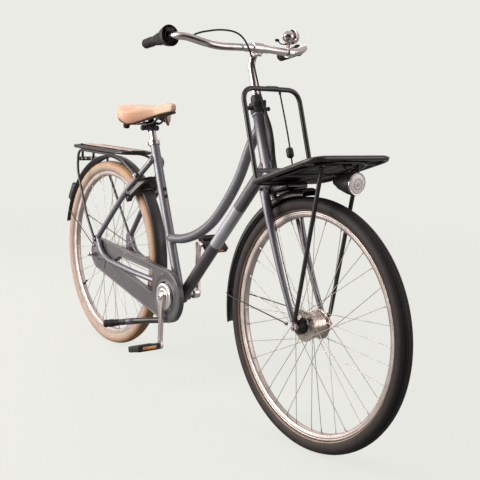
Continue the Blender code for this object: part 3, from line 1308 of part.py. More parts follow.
cable_line = smooth([
    mirrored(house_end, RIGHT) + Vector((0.004, 0.010, 0.0215)), steer(0.024, -0.195, 0.412),
    steer(0.035, -0.175, 0.416), steer(0.043, -0.128, 0.422), steer(0.047, -0.082, 0.419), steer(0.056, -0.060, 0.399),
    steer(0.059, -0.046, 0.363), steer(0.053, -0.034, 0.318), steer(0.044, -0.022, 0.268), steer(0.038, -0.012, 0.222),
    steer(0.040, -0.004, 0.162), steer(0.038, 0, 0.103), steer(0.027, 0, 0.052), steer(0.027, 0, 0.036),
], 1)
shift_cable = pipe("shift_cable", cable_line, 0.0028, 6)
cable_box = bmesh.new()
bmesh.ops.create_cube(cable_box, size=1.0, matrix=STEER @ Matrix.Translation((0.0275, 0, 0.026)) @ Matrix.Diagonal(
    (0.012, 0.020, 0.036, 1.0)))
fuse(shift_cable, mesh_from("cable_stop", cable_box))
cut(shift_cable, rod("cable_head_space", steer(0, 0, -0.01), steer(0, 0, HEAD_LENGTH), cup + 0.0005, 20))
finish(shift_cable, "black", STEERING)


# The bicycle's middle goes to x = 0
bpy.context.view_layer.update()
reach = [(obj.matrix_world @ Vector(corner)).x for obj in PARTS.objects if obj.type == "MESH" for corner in obj.bound_box]
BICYCLE.location.x -= (max(reach) + min(reach)) / 2
bpy.context.view_layer.update()
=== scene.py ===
import math

import bpy
from mathutils import Matrix, Vector


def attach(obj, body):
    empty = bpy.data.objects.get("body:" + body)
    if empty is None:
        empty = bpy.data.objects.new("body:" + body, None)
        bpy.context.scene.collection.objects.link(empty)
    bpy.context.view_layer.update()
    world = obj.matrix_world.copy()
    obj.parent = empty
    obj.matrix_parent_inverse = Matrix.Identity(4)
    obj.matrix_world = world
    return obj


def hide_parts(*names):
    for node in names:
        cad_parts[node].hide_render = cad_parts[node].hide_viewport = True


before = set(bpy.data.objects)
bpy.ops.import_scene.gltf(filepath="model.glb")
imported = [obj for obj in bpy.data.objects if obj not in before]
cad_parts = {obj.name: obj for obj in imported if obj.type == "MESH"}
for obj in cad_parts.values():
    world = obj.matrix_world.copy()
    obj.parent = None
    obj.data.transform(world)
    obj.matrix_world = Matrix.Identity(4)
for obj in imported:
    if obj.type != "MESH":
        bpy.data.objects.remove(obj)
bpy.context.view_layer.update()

# Sizes and places of the bicycle, in metres, as its solids have them
RIGHT, LEFT = -1, 1
SIDES = ((RIGHT, "right"), (LEFT, "left"))
WHEEL_RADIUS = 0.357
GUARD_RADIUS = 0.38
FLANGE_Y = 0.0275
STAY_LENGTH = 0.5058
HEAD_LENGTH = 0.195
SEAT_TUBE_RADIUS = 0.016
PLATE_Y = 0.07
LEG_Y = 0.0555
RACK_Z = 0.758
SADDLE_LENGTH = 0.28
SADDLE_HALF = 0.106
SHIFT = Vector((0.00913083, 0, 0))
REAR_AXLE = Vector((-0.59, 0, WHEEL_RADIUS)) + SHIFT
FRONT_AXLE = Vector((0.59, 0, WHEEL_RADIUS)) + SHIFT
CRANK_DROP = 0.062
CRANK_AXIS = REAR_AXLE + Vector((math.sqrt(STAY_LENGTH ** 2 - CRANK_DROP ** 2), 0, -CRANK_DROP))
SEAT_ANGLE = math.radians(68.3)
SEAT_WAY = Vector((-math.cos(SEAT_ANGLE), 0, math.sin(SEAT_ANGLE)))
SEAT_TOP = CRANK_AXIS + SEAT_WAY * 0.5435
STEER_ANGLE = math.radians(19)
STEER_TURN = Matrix.Rotation(-STEER_ANGLE, 4, "Y")
STEER_FOOT = FRONT_AXLE - STEER_TURN @ Vector((0.084, 0, -0.439))
STEER = Matrix.Translation(STEER_FOOT) @ STEER_TURN
HEAD_WAY = (STEER_TURN @ Vector((0, 0, 1))).normalized()
BACK_WAY = (REAR_AXLE - CRANK_AXIS).normalized()
UP_WAY = Vector((BACK_WAY.z, 0, -BACK_WAY.x))
ACROSS = Vector((0, 1, 0))


def steer(x, y, z):
    """A point in the steering's own lines: x ahead of its axis, z up along it."""
    return STEER @ Vector((x, y, z))


def by_crank(along, up, y=0.0):
    """A point seen from the crank's axis: along the line to the rear axle, up from it, and across."""
    return CRANK_AXIS + BACK_WAY * along + UP_WAY * up + Vector((0, y, 0))


def by_axle(ahead, up, y=0.0):
    """A point seen from the rear axle: ahead of it, up from it, and across."""
    return REAR_AXLE + Vector((ahead, y, up))


def round_wheel(centre, degrees, radius, y=0.0):
    turn = math.radians(degrees)
    return centre + Vector((radius * math.cos(turn), y, radius * math.sin(turn)))


def mirrored(point, side):
    return Vector((point[0], side * point[1], point[2]))


def eased(value, low, high):
    t = min(1.0, max(0.0, (value - low) / (high - low)))
    return t * t * (3 - 2 * t)


def smooth(points, per):
    """A curve through all the points, with a number of steps between each pair."""
    points = [Vector(point) for point in points]
    padded = [2 * points[0] - points[1], *points, 2 * points[-1] - points[-2]]
    path = []
    for i in range(1, len(padded) - 2):
        a, b, c, d = padded[i - 1:i + 3]
        for step in range(per):
            t = step / per
            path.append(0.5 * (2 * b + (c - a) * t + (2 * a - 5 * b + 4 * c - d) * t ** 2
                               + (3 * b - a - 3 * c + d) * t ** 3))
    return path + [points[-1]]


def rounded(points, reach, per=8, closed=False):
    """The line with each corner rounded off over the reach."""
    points = [Vector(point) for point in points]
    path = []
    for i, here in enumerate(points):
        if not closed and i in (0, len(points) - 1):
            path.append(here)
            continue
        before, after = points[i - 1], points[(i + 1) % len(points)]
        size = min(reach, 0.48 * (before - here).length, 0.48 * (after - here).length)
        start = here + (before - here).normalized() * size
        end = here + (after - here).normalized() * size
        for step in range(per + 1):
            t = step / per
            path.append((1 - t) ** 2 * start + 2 * t * (1 - t) * here + t * t * end)
    return path


def belt(first, first_radius, second, second_radius, steps, y):
    """The outline of a belt round two circles that face sideways."""
    gap = second - first
    lie = math.degrees(math.atan2(gap.z, gap.x))
    opened = math.degrees(math.acos((first_radius - second_radius) / gap.length))
    line = [round_wheel(first, lie + opened + (360 - 2 * opened) * i / steps, first_radius, y)
            for i in range(steps + 1)]
    half = steps // 2
    return line + [round_wheel(second, lie - opened + 2 * opened * i / half, second_radius, y)
                   for i in range(half + 1)]


# The maker's hands

def only(*pieces):
    """Selects just these pieces, the first one active."""
    bpy.ops.object.select_all(action="DESELECT")
    for piece in pieces:
        piece.select_set(True)
    bpy.context.view_layer.objects.active = pieces[0]


def edit_all(piece):
    only(piece)
    bpy.ops.object.mode_set(mode="EDIT")
    bpy.ops.mesh.select_all(action="SELECT")


def leave_edit():
    bpy.ops.object.mode_set(mode="OBJECT")


def tidied(piece, angle=38):
    """Welds the piece, turns its faces outward and smooths it."""
    edit_all(piece)
    bpy.ops.mesh.remove_doubles(threshold=0.00001)
    bpy.ops.mesh.normals_make_consistent(inside=False)
    leave_edit()
    bpy.ops.object.shade_smooth_by_angle(angle=math.radians(angle))
    return piece


def drawn(name, lines, closed=False, depth=0.0, sides=16, widths=None):
    """Poly lines, bare or with a round body, made into a mesh."""
    bpy.ops.object.select_all(action="DESELECT")
    bpy.ops.curve.primitive_nurbs_path_add(location=(0, 0, 0))
    guide = bpy.context.object
    guide.name = name
    curve = guide.data
    curve.splines.clear()
    curve.bevel_depth = depth
    curve.bevel_resolution = (sides - 4) // 2
    curve.use_fill_caps = not closed
    for line in lines:
        spline = curve.splines.new("POLY")
        spline.points.add(len(line) - 1)
        for i, point in enumerate(line):
            spline.points[i].co = (*point, 1.0)
            spline.points[i].radius = widths[i] if widths else 1.0
        spline.use_cyclic_u = closed
    bpy.ops.object.convert(target="MESH")
    return bpy.context.object


def tube(name, path, radius, sides=20, widths=None, closed=False):
    return tidied(drawn(name, [path], closed, radius, sides, widths))


def pin(name, start, end, radius, sides=24, soft=None):
    """A round pin with softened ends."""
    start, end = Vector(start), Vector(end)
    soft = min(radius * 0.3, 0.0012) if soft is None else soft
    way = (end - start).normalized()
    edge = 1.0 - soft / radius
    path = [start, start + way * soft, end - way * soft, end]
    return tube(name, path, radius, sides, [edge, 1.0, 1.0, edge])


def across(name, centre, y_from, y_to, radius, sides=24, soft=None):
    """A pin that lies across the bicycle, through the centre given."""
    return pin(name, (centre[0], y_from, centre[2]), (centre[0], y_to, centre[2]), radius, sides, soft)


def mm(*profile):
    """A profile that is written in millimetres, in metres."""
    return [(radius / 1000, along / 1000) for radius, along in profile]


def turned(name, profile, middle, way, steps=48, angle=360, out=None, smoothing=38):
    """A profile of (radius, distance along the axis) spun round that axis."""
    way = Vector(way).normalized()
    out = (Vector(out) if out else way.orthogonal()).normalized()
    piece = drawn(name, [[middle + way * along + out * radius for radius, along in profile]])
    edit_all(piece)
    bpy.ops.mesh.spin(steps=steps, angle=-math.radians(angle), center=middle, axis=way, use_auto_merge=True)
    leave_edit()
    return tidied(piece, smoothing)


def soften(piece, width, segments=3, limit=32):
    only(piece)
    bevel = piece.modifiers.new("soft edges", "BEVEL")
    bevel.width = width
    bevel.segments = segments
    bevel.limit_method = "ANGLE"
    bevel.angle_limit = math.radians(limit)
    bpy.ops.object.modifier_apply(modifier=bevel.name)
    bpy.ops.object.shade_smooth_by_angle(angle=math.radians(38))
    return piece


def slab(name, loops, depth, soft=0.0008, segments=3):
    """A plate: the first loop is its outline, the others are openings, and depth is a vector."""
    piece = drawn(name, loops, closed=True)
    edit_all(piece)
    if len(loops) > 1:
        bpy.ops.mesh.fill()
    else:
        bpy.ops.mesh.edge_face_add()
    bpy.ops.mesh.extrude_region_move(TRANSFORM_OT_translate={"value": tuple(depth)})
    leave_edit()
    tidied(piece)
    return soften(piece, soft, segments) if soft else piece


def block(name, middle, size, turn=None, soft=0.001, segments=3):
    """A block with its edges softened, turned about its middle."""
    bpy.ops.object.select_all(action="DESELECT")
    angles = turn.to_euler() if turn else (0, 0, 0)
    bpy.ops.mesh.primitive_cube_add(size=1.0, location=middle, rotation=angles, scale=size)
    piece = bpy.context.object
    piece.name = name
    bpy.ops.object.transform_apply(location=True, rotation=True, scale=True)
    return soften(piece, soft, segments)


def walled(piece, thickness, side=0.0):
    """Gives a thin sheet its wall: side 0 puts it on both sides, and -1 behind its faces."""
    only(piece)
    wall = piece.modifiers.new("wall", "SOLIDIFY")
    wall.thickness = thickness
    wall.offset = side
    bpy.ops.object.modifier_apply(modifier=wall.name)
    return piece


def strip(name, line, width, thickness):
    """A line pulled out sideways to a flat strip, then given its thickness."""
    piece = drawn(name, [line])
    edit_all(piece)
    bpy.ops.mesh.extrude_region_move(TRANSFORM_OT_translate={"value": (0, width, 0)})
    leave_edit()
    return tidied(walled(piece, thickness))


def joined(name, *pieces):
    only(*pieces)
    bpy.ops.object.join()
    pieces[0].name = name
    return pieces[0]


def carved(piece, tool, solver="EXACT"):
    only(piece)
    cut = piece.modifiers.new("cut", "BOOLEAN")
    cut.operation = "DIFFERENCE"
    cut.solver = solver
    cut.object = tool
    bpy.ops.object.modifier_apply(modifier=cut.name)
    bpy.data.objects.remove(tool)
    return tidied(piece)


def weld_line(start, way, radius, axis_point, axis_way, axis_radius, steps=56):
    """Where a round tube meets the wall of another: the loop that its weld follows."""
    way, axis_way = way.normalized(), axis_way.normalized()
    side = way.cross(axis_way).normalized()
    other = way.cross(side).normalized()
    flat = way - axis_way * way.dot(axis_way)
    loop = []
    for i in range(steps):
        turn = 2 * math.pi * i / steps
        point = start + (side * math.cos(turn) + other * math.sin(turn)) * radius
        gap = point - axis_point
        gap = gap - axis_way * gap.dot(axis_way)
        a, b, c = flat.dot(flat), 2 * gap.dot(flat), gap.dot(gap) - axis_radius ** 2
        reach = b * b - 4 * a * c
        loop.append(point + way * ((-b + math.sqrt(max(0.0, reach))) / (2 * a)))
    return loop


def bead(name, loop, size=0.0022):
    """A weld: a ring of small overlapping ripples."""
    fine = smooth([*loop, loop[0]], 3)[:-1]
    widths = [1.0 + 0.16 * math.sin(i * math.pi / 2.0) for i in range(len(fine))]
    return tube(name, fine, size, 8, widths, closed=True)


# Finishes

def node(tree, kind, inputs=None, **settings):
    made = tree.nodes.new("ShaderNode" + kind)
    for key, value in settings.items():
        setattr(made, key, value)
    for key, value in (inputs or {}).items():
        if isinstance(value, bpy.types.NodeSocket):
            tree.links.new(value, made.inputs[key])
        else:
            made.inputs[key].default_value = value
    return made


def own_place(tree):
    """Each point's place in the piece's own space."""
    return node(tree, "TexCoord").outputs["Object"]


def sums(tree, kind, *values):
    """One step of arithmetic on numbers or sockets."""
    return node(tree, "Math", dict(enumerate(values)), operation=kind).outputs["Value"]


def mixed(tree, share, under, over, kind="MIX"):
    """One colour mixed over another."""
    return node(tree, "Mix", {"Factor": share, "A": under, "B": over}, data_type="RGBA",
                blend_type=kind).outputs["Result"]


def ramp(tree, value, stops):
    """A colour ramp with (place, colour) stops; a colour may be one number."""
    made = node(tree, "ValToRGB", {"Fac": value})
    steps = made.color_ramp.elements
    while len(steps) < len(stops):
        steps.new(0.5)
    for step, (place, colour) in zip(steps, stops):
        step.position = place
        step.color = (*colour, 1.0) if hasattr(colour, "__len__") else (colour, colour, colour, 1.0)
    return made.outputs["Color"]


def blank(name, rough, metal=0.0, coat=0.0, coat_rough=0.1):
    material = bpy.data.materials.new(name)
    material.use_nodes = True
    shader = material.node_tree.nodes["Principled BSDF"]
    shader.inputs["Metallic"].default_value = metal
    shader.inputs["Roughness"].default_value = rough
    shader.inputs["Coat Weight"].default_value = coat
    shader.inputs["Coat Roughness"].default_value = coat_rough
    return material, material.node_tree, shader


def spots(tree, size, detail=2.0, vector=None, rough=0.55):
    """Noise in the piece's own space; size is how many spots there are in a metre."""
    vector = vector or own_place(tree)
    return node(tree, "TexNoise", {"Vector": vector, "Scale": size, "Detail": detail,
                                   "Roughness": rough}).outputs["Fac"]


def relief(tree, shader, height, depth):
    bump = node(tree, "Bump", {"Height": height, "Distance": depth, "Strength": 1.0})
    tree.links.new(bump.outputs["Normal"], shader.inputs["Normal"])


def surface(name, dark, light, rough, metal=0.0, patch=9.0, grain=900.0, depth=0.00006, rough_spread=0.1,
            coat=0.0, coat_rough=0.1, scuffs_and_reflections=0.0, scuff_and_reflection_colour=(0.3, 0.28, 0.27), specular=0.5):
    """Two shades in soft patches, with fine grain in the gloss and the relief, and thin streaks: scuffing on
    most finishes, painted brown reflection on the gloss black and the deck boards.
    """
    material, tree, shader = blank(name, rough, metal, coat, coat_rough)
    shader.inputs["Specular IOR Level"].default_value = specular
    broad = spots(tree, patch, 4.0)
    fine = spots(tree, grain, 2.0)
    colour = ramp(tree, broad, [(0.3, dark), (0.7, light)])
    if scuffs_and_reflections:
        stretched = node(tree, "Mapping", {"Vector": own_place(tree),
                                           "Scale": (1.0, 3.0, 9.0), "Rotation": (0.4, 0.9, 0.2)})
        scuff_and_reflection_marks = ramp(tree, spots(tree, 34.0, 6.0, stretched.outputs["Vector"], 0.7),
                     [(0.66, 0.0), (0.78, scuffs_and_reflections)])
        colour = mixed(tree, scuff_and_reflection_marks, colour, (*scuff_and_reflection_colour, 1.0))
    tree.links.new(colour, shader.inputs["Base Color"])
    gloss = node(tree, "MapRange", {"Value": spots(tree, patch * 5, 5.0), "From Min": 0.3, "From Max": 0.7,
                                    "To Min": max(0.02, rough - rough_spread),
                                    "To Max": rough + rough_spread})
    tree.links.new(gloss.outputs["Result"], shader.inputs["Roughness"])
    relief(tree, shader, fine, depth)
    return material


def wheel_place(tree, centre):
    """Distance from a wheel's axle, the angle round it and the way across, in metres and radians."""
    place = node(tree, "Mapping", {"Vector": own_place(tree), "Location": tuple(-centre)})
    parts = node(tree, "SeparateXYZ", {"Vector": place.outputs["Vector"]})
    x, y, z = (parts.outputs[axis] for axis in "XYZ")
    flat = node(tree, "CombineXYZ", {"X": x, "Z": z})
    far = node(tree, "VectorMath", {0: flat.outputs["Vector"]}, operation="LENGTH").outputs["Value"]
    angle = sums(tree, "ARCTAN2", z, x)
    return far, angle, y


def tyre_finish(name, centre, stops, sheen_rough, wall_dirt):
    """Rubber: shades by distance from the axle, moulded ribs on the wall and cuts in the tread."""
    material, tree, shader = blank(name, sheen_rough)
    shader.inputs["Specular IOR Level"].default_value = 0.3
    far, angle, y = wheel_place(tree, centre)
    shade = node(tree, "MapRange", {"Value": far, "From Min": 0.314, "From Max": 0.358})
    colour = ramp(tree, shade.outputs["Result"], stops)
    dirt = ramp(tree, spots(tree, 26.0, 6.0, rough=0.65), [(0.35, 0.0), (0.75, 1.0)])
    colour = mixed(tree, dirt, colour, (*wall_dirt, 1.0), "MULTIPLY")
    tree.links.new(colour, shader.inputs["Base Color"])
    # Cuts slant away from the middle of the tread
    slant = sums(tree, "ABSOLUTE", y)
    turns = sums(tree, "MULTIPLY", angle, 480 / (2 * math.pi))
    turns = sums(tree, "MULTIPLY_ADD", slant, 130.0, turns)
    saw = sums(tree, "PINGPONG", turns, 1.0)
    cuts = ramp(tree, saw, [(0.1, 0.0), (0.24, 1.0)])
    tread = ramp(tree, shade.outputs["Result"], [(0.74, 0.0), (0.8, 1.0)])
    kept = mixed(tree, tread, (1, 1, 1, 1), cuts)
    wall = sums(tree, "MULTIPLY", far, 2600.0)
    ribs = sums(tree, "SINE", wall)
    grain = spots(tree, 1500.0, 2.0)
    height = sums(tree, "MULTIPLY_ADD", ribs, 0.1, grain)
    height = sums(tree, "MULTIPLY_ADD", kept, 2.0, height)
    relief(tree, shader, height, 0.00025)
    return material


def turned_metal(name, centre, dark, light, rough, rings=2400.0):
    """Metal with the fine rings that turning leaves, round a wheel's axle."""
    material, tree, shader = blank(name, rough, 1.0)
    far, _, y = wheel_place(tree, centre)
    lines = node(tree, "CombineXYZ", {"X": far, "Y": y})
    streaks = spots(tree, rings, 3.0, lines.outputs["Vector"], 0.7)
    patches = spots(tree, 22.0, 4.0)
    both = sums(tree, "MULTIPLY_ADD", streaks, 0.4, patches)
    tree.links.new(ramp(tree, both, [(0.5, dark), (0.9, light)]), shader.inputs["Base Color"])
    gloss = node(tree, "MapRange", {"Value": streaks, "To Min": rough - 0.08, "To Max": rough + 0.12})
    tree.links.new(gloss.outputs["Result"], shader.inputs["Roughness"])
    relief(tree, shader, streaks, 0.00001)
    return material


def leather_finish(name):
    """Pebbled saddle cover, a little paler towards its top."""
    material, tree, shader = blank(name, 0.42, 0.0, 0.1, 0.3)
    shader.inputs["Specular IOR Level"].default_value = 0.3
    place = own_place(tree)
    pebbles = node(tree, "TexVoronoi", {"Vector": place, "Scale": 620.0},
                   feature="DISTANCE_TO_EDGE").outputs["Distance"]
    creases = ramp(tree, pebbles, [(0.02, 0.0), (0.22, 1.0)])
    height = node(tree, "SeparateXYZ", {"Vector": place}).outputs["Z"]
    paler_higher = node(tree, "MapRange", {"Value": height, "From Min": SEAT_TOP.z + 0.08,
                                   "From Max": SEAT_TOP.z + 0.14})
    tone = sums(tree, "MULTIPLY_ADD", spots(tree, 18.0, 4.0), 0.5, paler_higher.outputs["Result"])
    colour = ramp(tree, tone, [(0.15, (0.66, 0.34, 0.22)), (0.6, (0.78, 0.47, 0.33)),
                               (1.0, (0.84, 0.57, 0.44))])
    colour = mixed(tree, creases, (0.6, 0.32, 0.2, 1), colour)
    tree.links.new(colour, shader.inputs["Base Color"])
    gloss = node(tree, "MapRange", {"Value": spots(tree, 90.0, 3.0), "To Min": 0.36, "To Max": 0.5})
    tree.links.new(gloss.outputs["Result"], shader.inputs["Roughness"])
    fine = sums(tree, "MULTIPLY_ADD", spots(tree, 1900.0), 0.3, creases)
    relief(tree, shader, fine, 0.00003)
    return material


def woven_finish(name, dark, light):
    """Elastic webbing: threads across and along the strap."""
    material, tree, shader = blank(name, 0.72)
    place = own_place(tree)
    along = node(tree, "TexWave", {"Vector": place, "Scale": 260.0, "Distortion": 0.6},
                 bands_direction="X").outputs["Fac"]
    over = node(tree, "TexWave", {"Vector": place, "Scale": 420.0, "Distortion": 0.4},
                bands_direction="Y").outputs["Fac"]
    threads = sums(tree, "MULTIPLY", along, over)
    tone = sums(tree, "MULTIPLY_ADD", spots(tree, 40.0, 4.0), 0.7, threads)
    tree.links.new(ramp(tree, tone, [(0.2, dark), (0.9, light)]), shader.inputs["Base Color"])
    shader.inputs["Sheen Weight"].default_value = 0.25
    relief(tree, shader, threads, 0.0003)
    return material


def prism_finish(name, colour, glow):
    """A reflector: tiny prisms under clear plastic, each lighter at its middle as a painted glint."""
    material, tree, shader = blank(name, 0.18, 0.0, 0.6, 0.05)
    place = own_place(tree)
    cells = node(tree, "TexVoronoi", {"Vector": place, "Scale": 340.0}, distance="CHEBYCHEV")
    # Prism middles take the lighter glow colour: a painted glint.
    tone = sums(tree, "MULTIPLY_ADD", cells.outputs["Distance"], 1.3, spots(tree, 60.0))
    tree.links.new(ramp(tree, tone, [(0.3, glow), (1.1, colour)]), shader.inputs["Base Color"])
    relief(tree, shader, cells.outputs["Distance"], 0.0005)
    return material


def lens_finish(name, centre):
    """The headlight's glass: rings pressed into it, and light and dark rings in its colour that paint the
    reflector bowl's reflections.
    """
    material, tree, shader = blank(name, 0.1, 0.0, 0.6, 0.03)
    place = node(tree, "Mapping", {"Vector": own_place(tree), "Location": tuple(-centre)})
    parts = node(tree, "SeparateXYZ", {"Vector": place.outputs["Vector"]})
    flat = node(tree, "CombineXYZ", {"Y": parts.outputs["Y"], "Z": parts.outputs["Z"]})
    far = node(tree, "VectorMath", {0: flat.outputs["Vector"]}, operation="LENGTH").outputs["Value"]
    shade = node(tree, "MapRange", {"Value": far, "From Min": 0.0, "From Max": 0.031}).outputs["Result"]
    # Painted reflection: the light and dark rings stand for the reflector bowl seen through the glass.
    colour = ramp(tree, shade, [(0.0, (0.66, 0.6, 0.58)), (0.16, (0.4, 0.36, 0.35)),
                                (0.24, (0.92, 0.86, 0.84)), (0.46, (0.36, 0.32, 0.31)),
                                (0.54, (0.92, 0.85, 0.82)), (0.92, (0.94, 0.88, 0.86)),
                                (1.0, (0.5, 0.45, 0.43))])
    tree.links.new(colour, shader.inputs["Base Color"])
    gloss = node(tree, "MapRange", {"Value": spots(tree, 300.0), "To Min": 0.04, "To Max": 0.16})
    tree.links.new(gloss.outputs["Result"], shader.inputs["Roughness"])
    rings = sums(tree, "MULTIPLY", far, 1500.0)
    rings = sums(tree, "SINE", rings)
    relief(tree, shader, rings, 0.0002)
    return material


def banded_paint(name, start, way, length, stops):
    """Frame paint whose shade changes in plain bands along a tube."""
    material = surface(name, (0.12, 0.115, 0.132), (0.16, 0.154, 0.172), 0.4, 0.55, 5.0, 2200.0, 0.00003,
                       0.06, 0.35, 0.26, 0.1)
    tree = material.node_tree
    shader = tree.nodes["Principled BSDF"]
    place = node(tree, "VectorMath", {0: own_place(tree), 1: tuple(start)}, operation="SUBTRACT")
    along = node(tree, "VectorMath", {0: place.outputs["Vector"], 1: tuple(way)},
                 operation="DOT_PRODUCT").outputs["Value"]
    share = node(tree, "MapRange", {"Value": along, "From Max": length}).outputs["Result"]
    coat = shader.inputs["Base Color"].links[0].from_socket
    band = node(tree, "Mix", {"Factor": 1.0, "A": coat, "B": ramp(tree, share, stops)}, data_type="RGBA",
                blend_type="MULTIPLY", clamp_result=False)
    tree.links.new(band.outputs["Result"], shader.inputs["Base Color"])
    return material


LAMP = Vector((steer(0.346, 0, -0.098).x, 0, steer(0.346, 0, -0.098).z))
DOWN_START, DOWN_END = CRANK_AXIS + Vector((0.008, 0, -0.01)), steer(0, 0, 0.038)
DOWN_WAY = (DOWN_END - DOWN_START).normalized()
FINISH = {
    "paint": surface("frame paint", (0.14, 0.134, 0.152), (0.19, 0.183, 0.205), 0.4, 0.58, 5.0, 2200.0,
                     0.00003, 0.06, 0.35, 0.26, 0.1),
    # From the crank end: a darker, browner stretch that is a painted dark brown reflection, then a pale
    # panel, then paint close to plain.
    "down_paint": banded_paint("down tube paint", DOWN_START, DOWN_WAY, (DOWN_END - DOWN_START).length, [
        (0.0, (0.6, 0.53, 0.52)), (0.44, (0.52, 0.48, 0.48)), (0.446, (2.75, 2.9, 2.75)),
        (0.712, (2.75, 2.9, 2.75)), (0.718, (0.9, 0.88, 0.86)), (1.0, (0.95, 0.94, 0.92))]),
    "tube_black": surface("black tube enamel", (0.013, 0.0105, 0.0108), (0.027, 0.0225, 0.023), 0.32, 0.0,
                          7.0, 1500.0, 0.00004, 0.08, 0.15, 0.2, 0.22, (0.09, 0.08, 0.08), 0.45),
    # The gloss black's brown streaks are painted brown reflections.
    "gloss": surface("gloss black", (0.008, 0.0062, 0.0062), (0.017, 0.0135, 0.0135), 0.26, 0.0, 6.0, 700.0,
                     0.00002, 0.07, 0.2, 0.1, 0.18, (0.09, 0.06, 0.045), 0.35),
    "plastic": surface("black plastic", (0.012, 0.0105, 0.011), (0.0245, 0.0215, 0.022), 0.48, 0.0, 12.0,
                       1300.0, 0.0001, 0.1, 0.0, 0.1, 0.2, (0.07, 0.065, 0.065), 0.32),
    "rubber": surface("black rubber", (0.0125, 0.011, 0.0108), (0.026, 0.0225, 0.0215), 0.72, 0.0, 30.0,
                      1700.0, 0.00014, 0.1, 0.0, 0.1, 0.0, (0, 0, 0), 0.32),
    "case": surface("chain case plastic", (0.062, 0.057, 0.061), (0.092, 0.085, 0.089), 0.42, 0.0, 6.0,
                    2100.0, 0.00008, 0.08, 0.2, 0.28, 0.25, (0.16, 0.15, 0.15)),
    "chrome": surface("chrome", (0.54, 0.49, 0.48), (0.66, 0.61, 0.6), 0.23, 1.0, 14.0, 500.0, 0.00001, 0.05,
                      0.0, 0.1, 0.35, (0.48, 0.42, 0.4)),
    "polished": surface("polished alloy", (0.7, 0.62, 0.6), (0.84, 0.76, 0.74), 0.32, 1.0, 24.0, 1100.0,
                        0.000006, 0.07, 0.0, 0.1, 0.3, (0.48, 0.42, 0.4)),
    "steel": surface("plated steel", (0.34, 0.31, 0.3), (0.52, 0.47, 0.45), 0.36, 1.0, 40.0, 1500.0, 0.00002,
                     0.1, 0.0, 0.1, 0.5, (0.2, 0.16, 0.14)),
    "spoke": surface("spoke wire", (0.38, 0.35, 0.33), (0.56, 0.51, 0.49), 0.5, 0.6, 30.0, 1500.0, 0.00001,
                     0.08),
    # The deck boards' brown streaks are painted brown reflections.
    "deck": surface("black deck boards", (0.0075, 0.0055, 0.005), (0.015, 0.011, 0.01), 0.46, 0.0, 6.0,
                    700.0, 0.00002, 0.07, 0.0, 0.3, 0.25, (0.06, 0.038, 0.028), 0.18),
    # The chain case's raised edges are its plastic painted lighter: a painted highlight.
    "case_edge_highlight": surface("chain case edge painted highlight", (0.08, 0.073, 0.077), (0.115, 0.106, 0.11), 0.34, 0.0, 6.0,
                         2100.0, 0.0001, 0.08, 0.3, 0.22, 0.25, (0.2, 0.19, 0.18)),
    "satin": surface("satin black guard", (0.026, 0.024, 0.027), (0.044, 0.041, 0.045), 0.4, 0.2, 5.0,
                     1500.0, 0.00003, 0.06, 0.15, 0.3, 0.15, (0.09, 0.07, 0.06)),
    "brass": surface("copper bits", (0.4, 0.18, 0.1), (0.58, 0.29, 0.18), 0.34, 1.0, 60.0, 1500.0, 0.00004,
                     0.12),
    # The lock band's dark brown is a painted brown reflection.
    "brown_reflection_band": surface("lock band painted brown reflection", (0.055, 0.034, 0.024), (0.14, 0.085, 0.06), 0.3, 0.6, 60.0, 900.0,
                      0.00004, 0.1),
    "amber": prism_finish("amber reflector", (0.8, 0.24, 0.02), (0.98, 0.48, 0.08)),
    "red": prism_finish("red lens", (0.2, 0.006, 0.006), (0.42, 0.02, 0.015)),
    "leather": leather_finish("saddle leather"),
    "strap": woven_finish("carrier webbing", (0.4, 0.27, 0.21), (0.7, 0.52, 0.43)),
    "lens": lens_finish("headlight glass", LAMP),
    "front_tyre": tyre_finish("front tyre rubber", FRONT_AXLE, [
        (0.0, (0.024, 0.019, 0.018)), (0.1, (0.024, 0.019, 0.018)), (0.12, (0.32, 0.235, 0.18)),
        (0.175, (0.32, 0.235, 0.18)), (0.195, (0.038, 0.03, 0.028)), (0.62, (0.034, 0.027, 0.025)),
        (0.8, (0.0145, 0.0115, 0.0112))], 0.62, (0.62, 0.54, 0.51)),
    "rear_tyre": tyre_finish("rear tyre rubber", REAR_AXLE, [
        (0.0, (0.29, 0.22, 0.18)), (0.06, (0.24, 0.18, 0.145)), (0.1, (0.41, 0.315, 0.26)),
        (0.55, (0.445, 0.325, 0.25)), (0.78, (0.465, 0.285, 0.16)), (1.0, (0.43, 0.24, 0.11))], 0.6,
                             (0.84, 0.78, 0.74)),
    "front_rim": turned_metal("front rim alloy", FRONT_AXLE, (0.44, 0.375, 0.35), (0.62, 0.545, 0.515), 0.42),
    "rear_rim": turned_metal("rear rim alloy", REAR_AXLE, (0.44, 0.375, 0.35), (0.62, 0.545, 0.515), 0.44),
    "front_hub": turned_metal("dynamo hub alloy", FRONT_AXLE, (0.44, 0.36, 0.32), (0.72, 0.63, 0.58), 0.26,
                              1300.0),
    "rear_hub": turned_metal("geared hub alloy", REAR_AXLE, (0.34, 0.3, 0.29), (0.6, 0.54, 0.52), 0.3,
                             1300.0),
    "disc": turned_metal("crank disc alloy", CRANK_AXIS, (0.78, 0.74, 0.73), (0.93, 0.9, 0.89), 0.26, 500.0),
}


def put(piece, finish, body, *nodes):
    """Gives the piece its finish and the body that it moves with, and hides the solids that it stands for."""
    piece.data.materials.clear()
    piece.data.materials.append(FINISH[finish])
    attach(piece, body)
    if nodes:
        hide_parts(*nodes)
    return piece


def dressed(solid_name, finish):
    """Gives a finish to a solid that keeps its own shape."""
    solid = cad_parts[solid_name]
    solid.data.materials.clear()
    solid.data.materials.append(FINISH[finish])


# Wheels

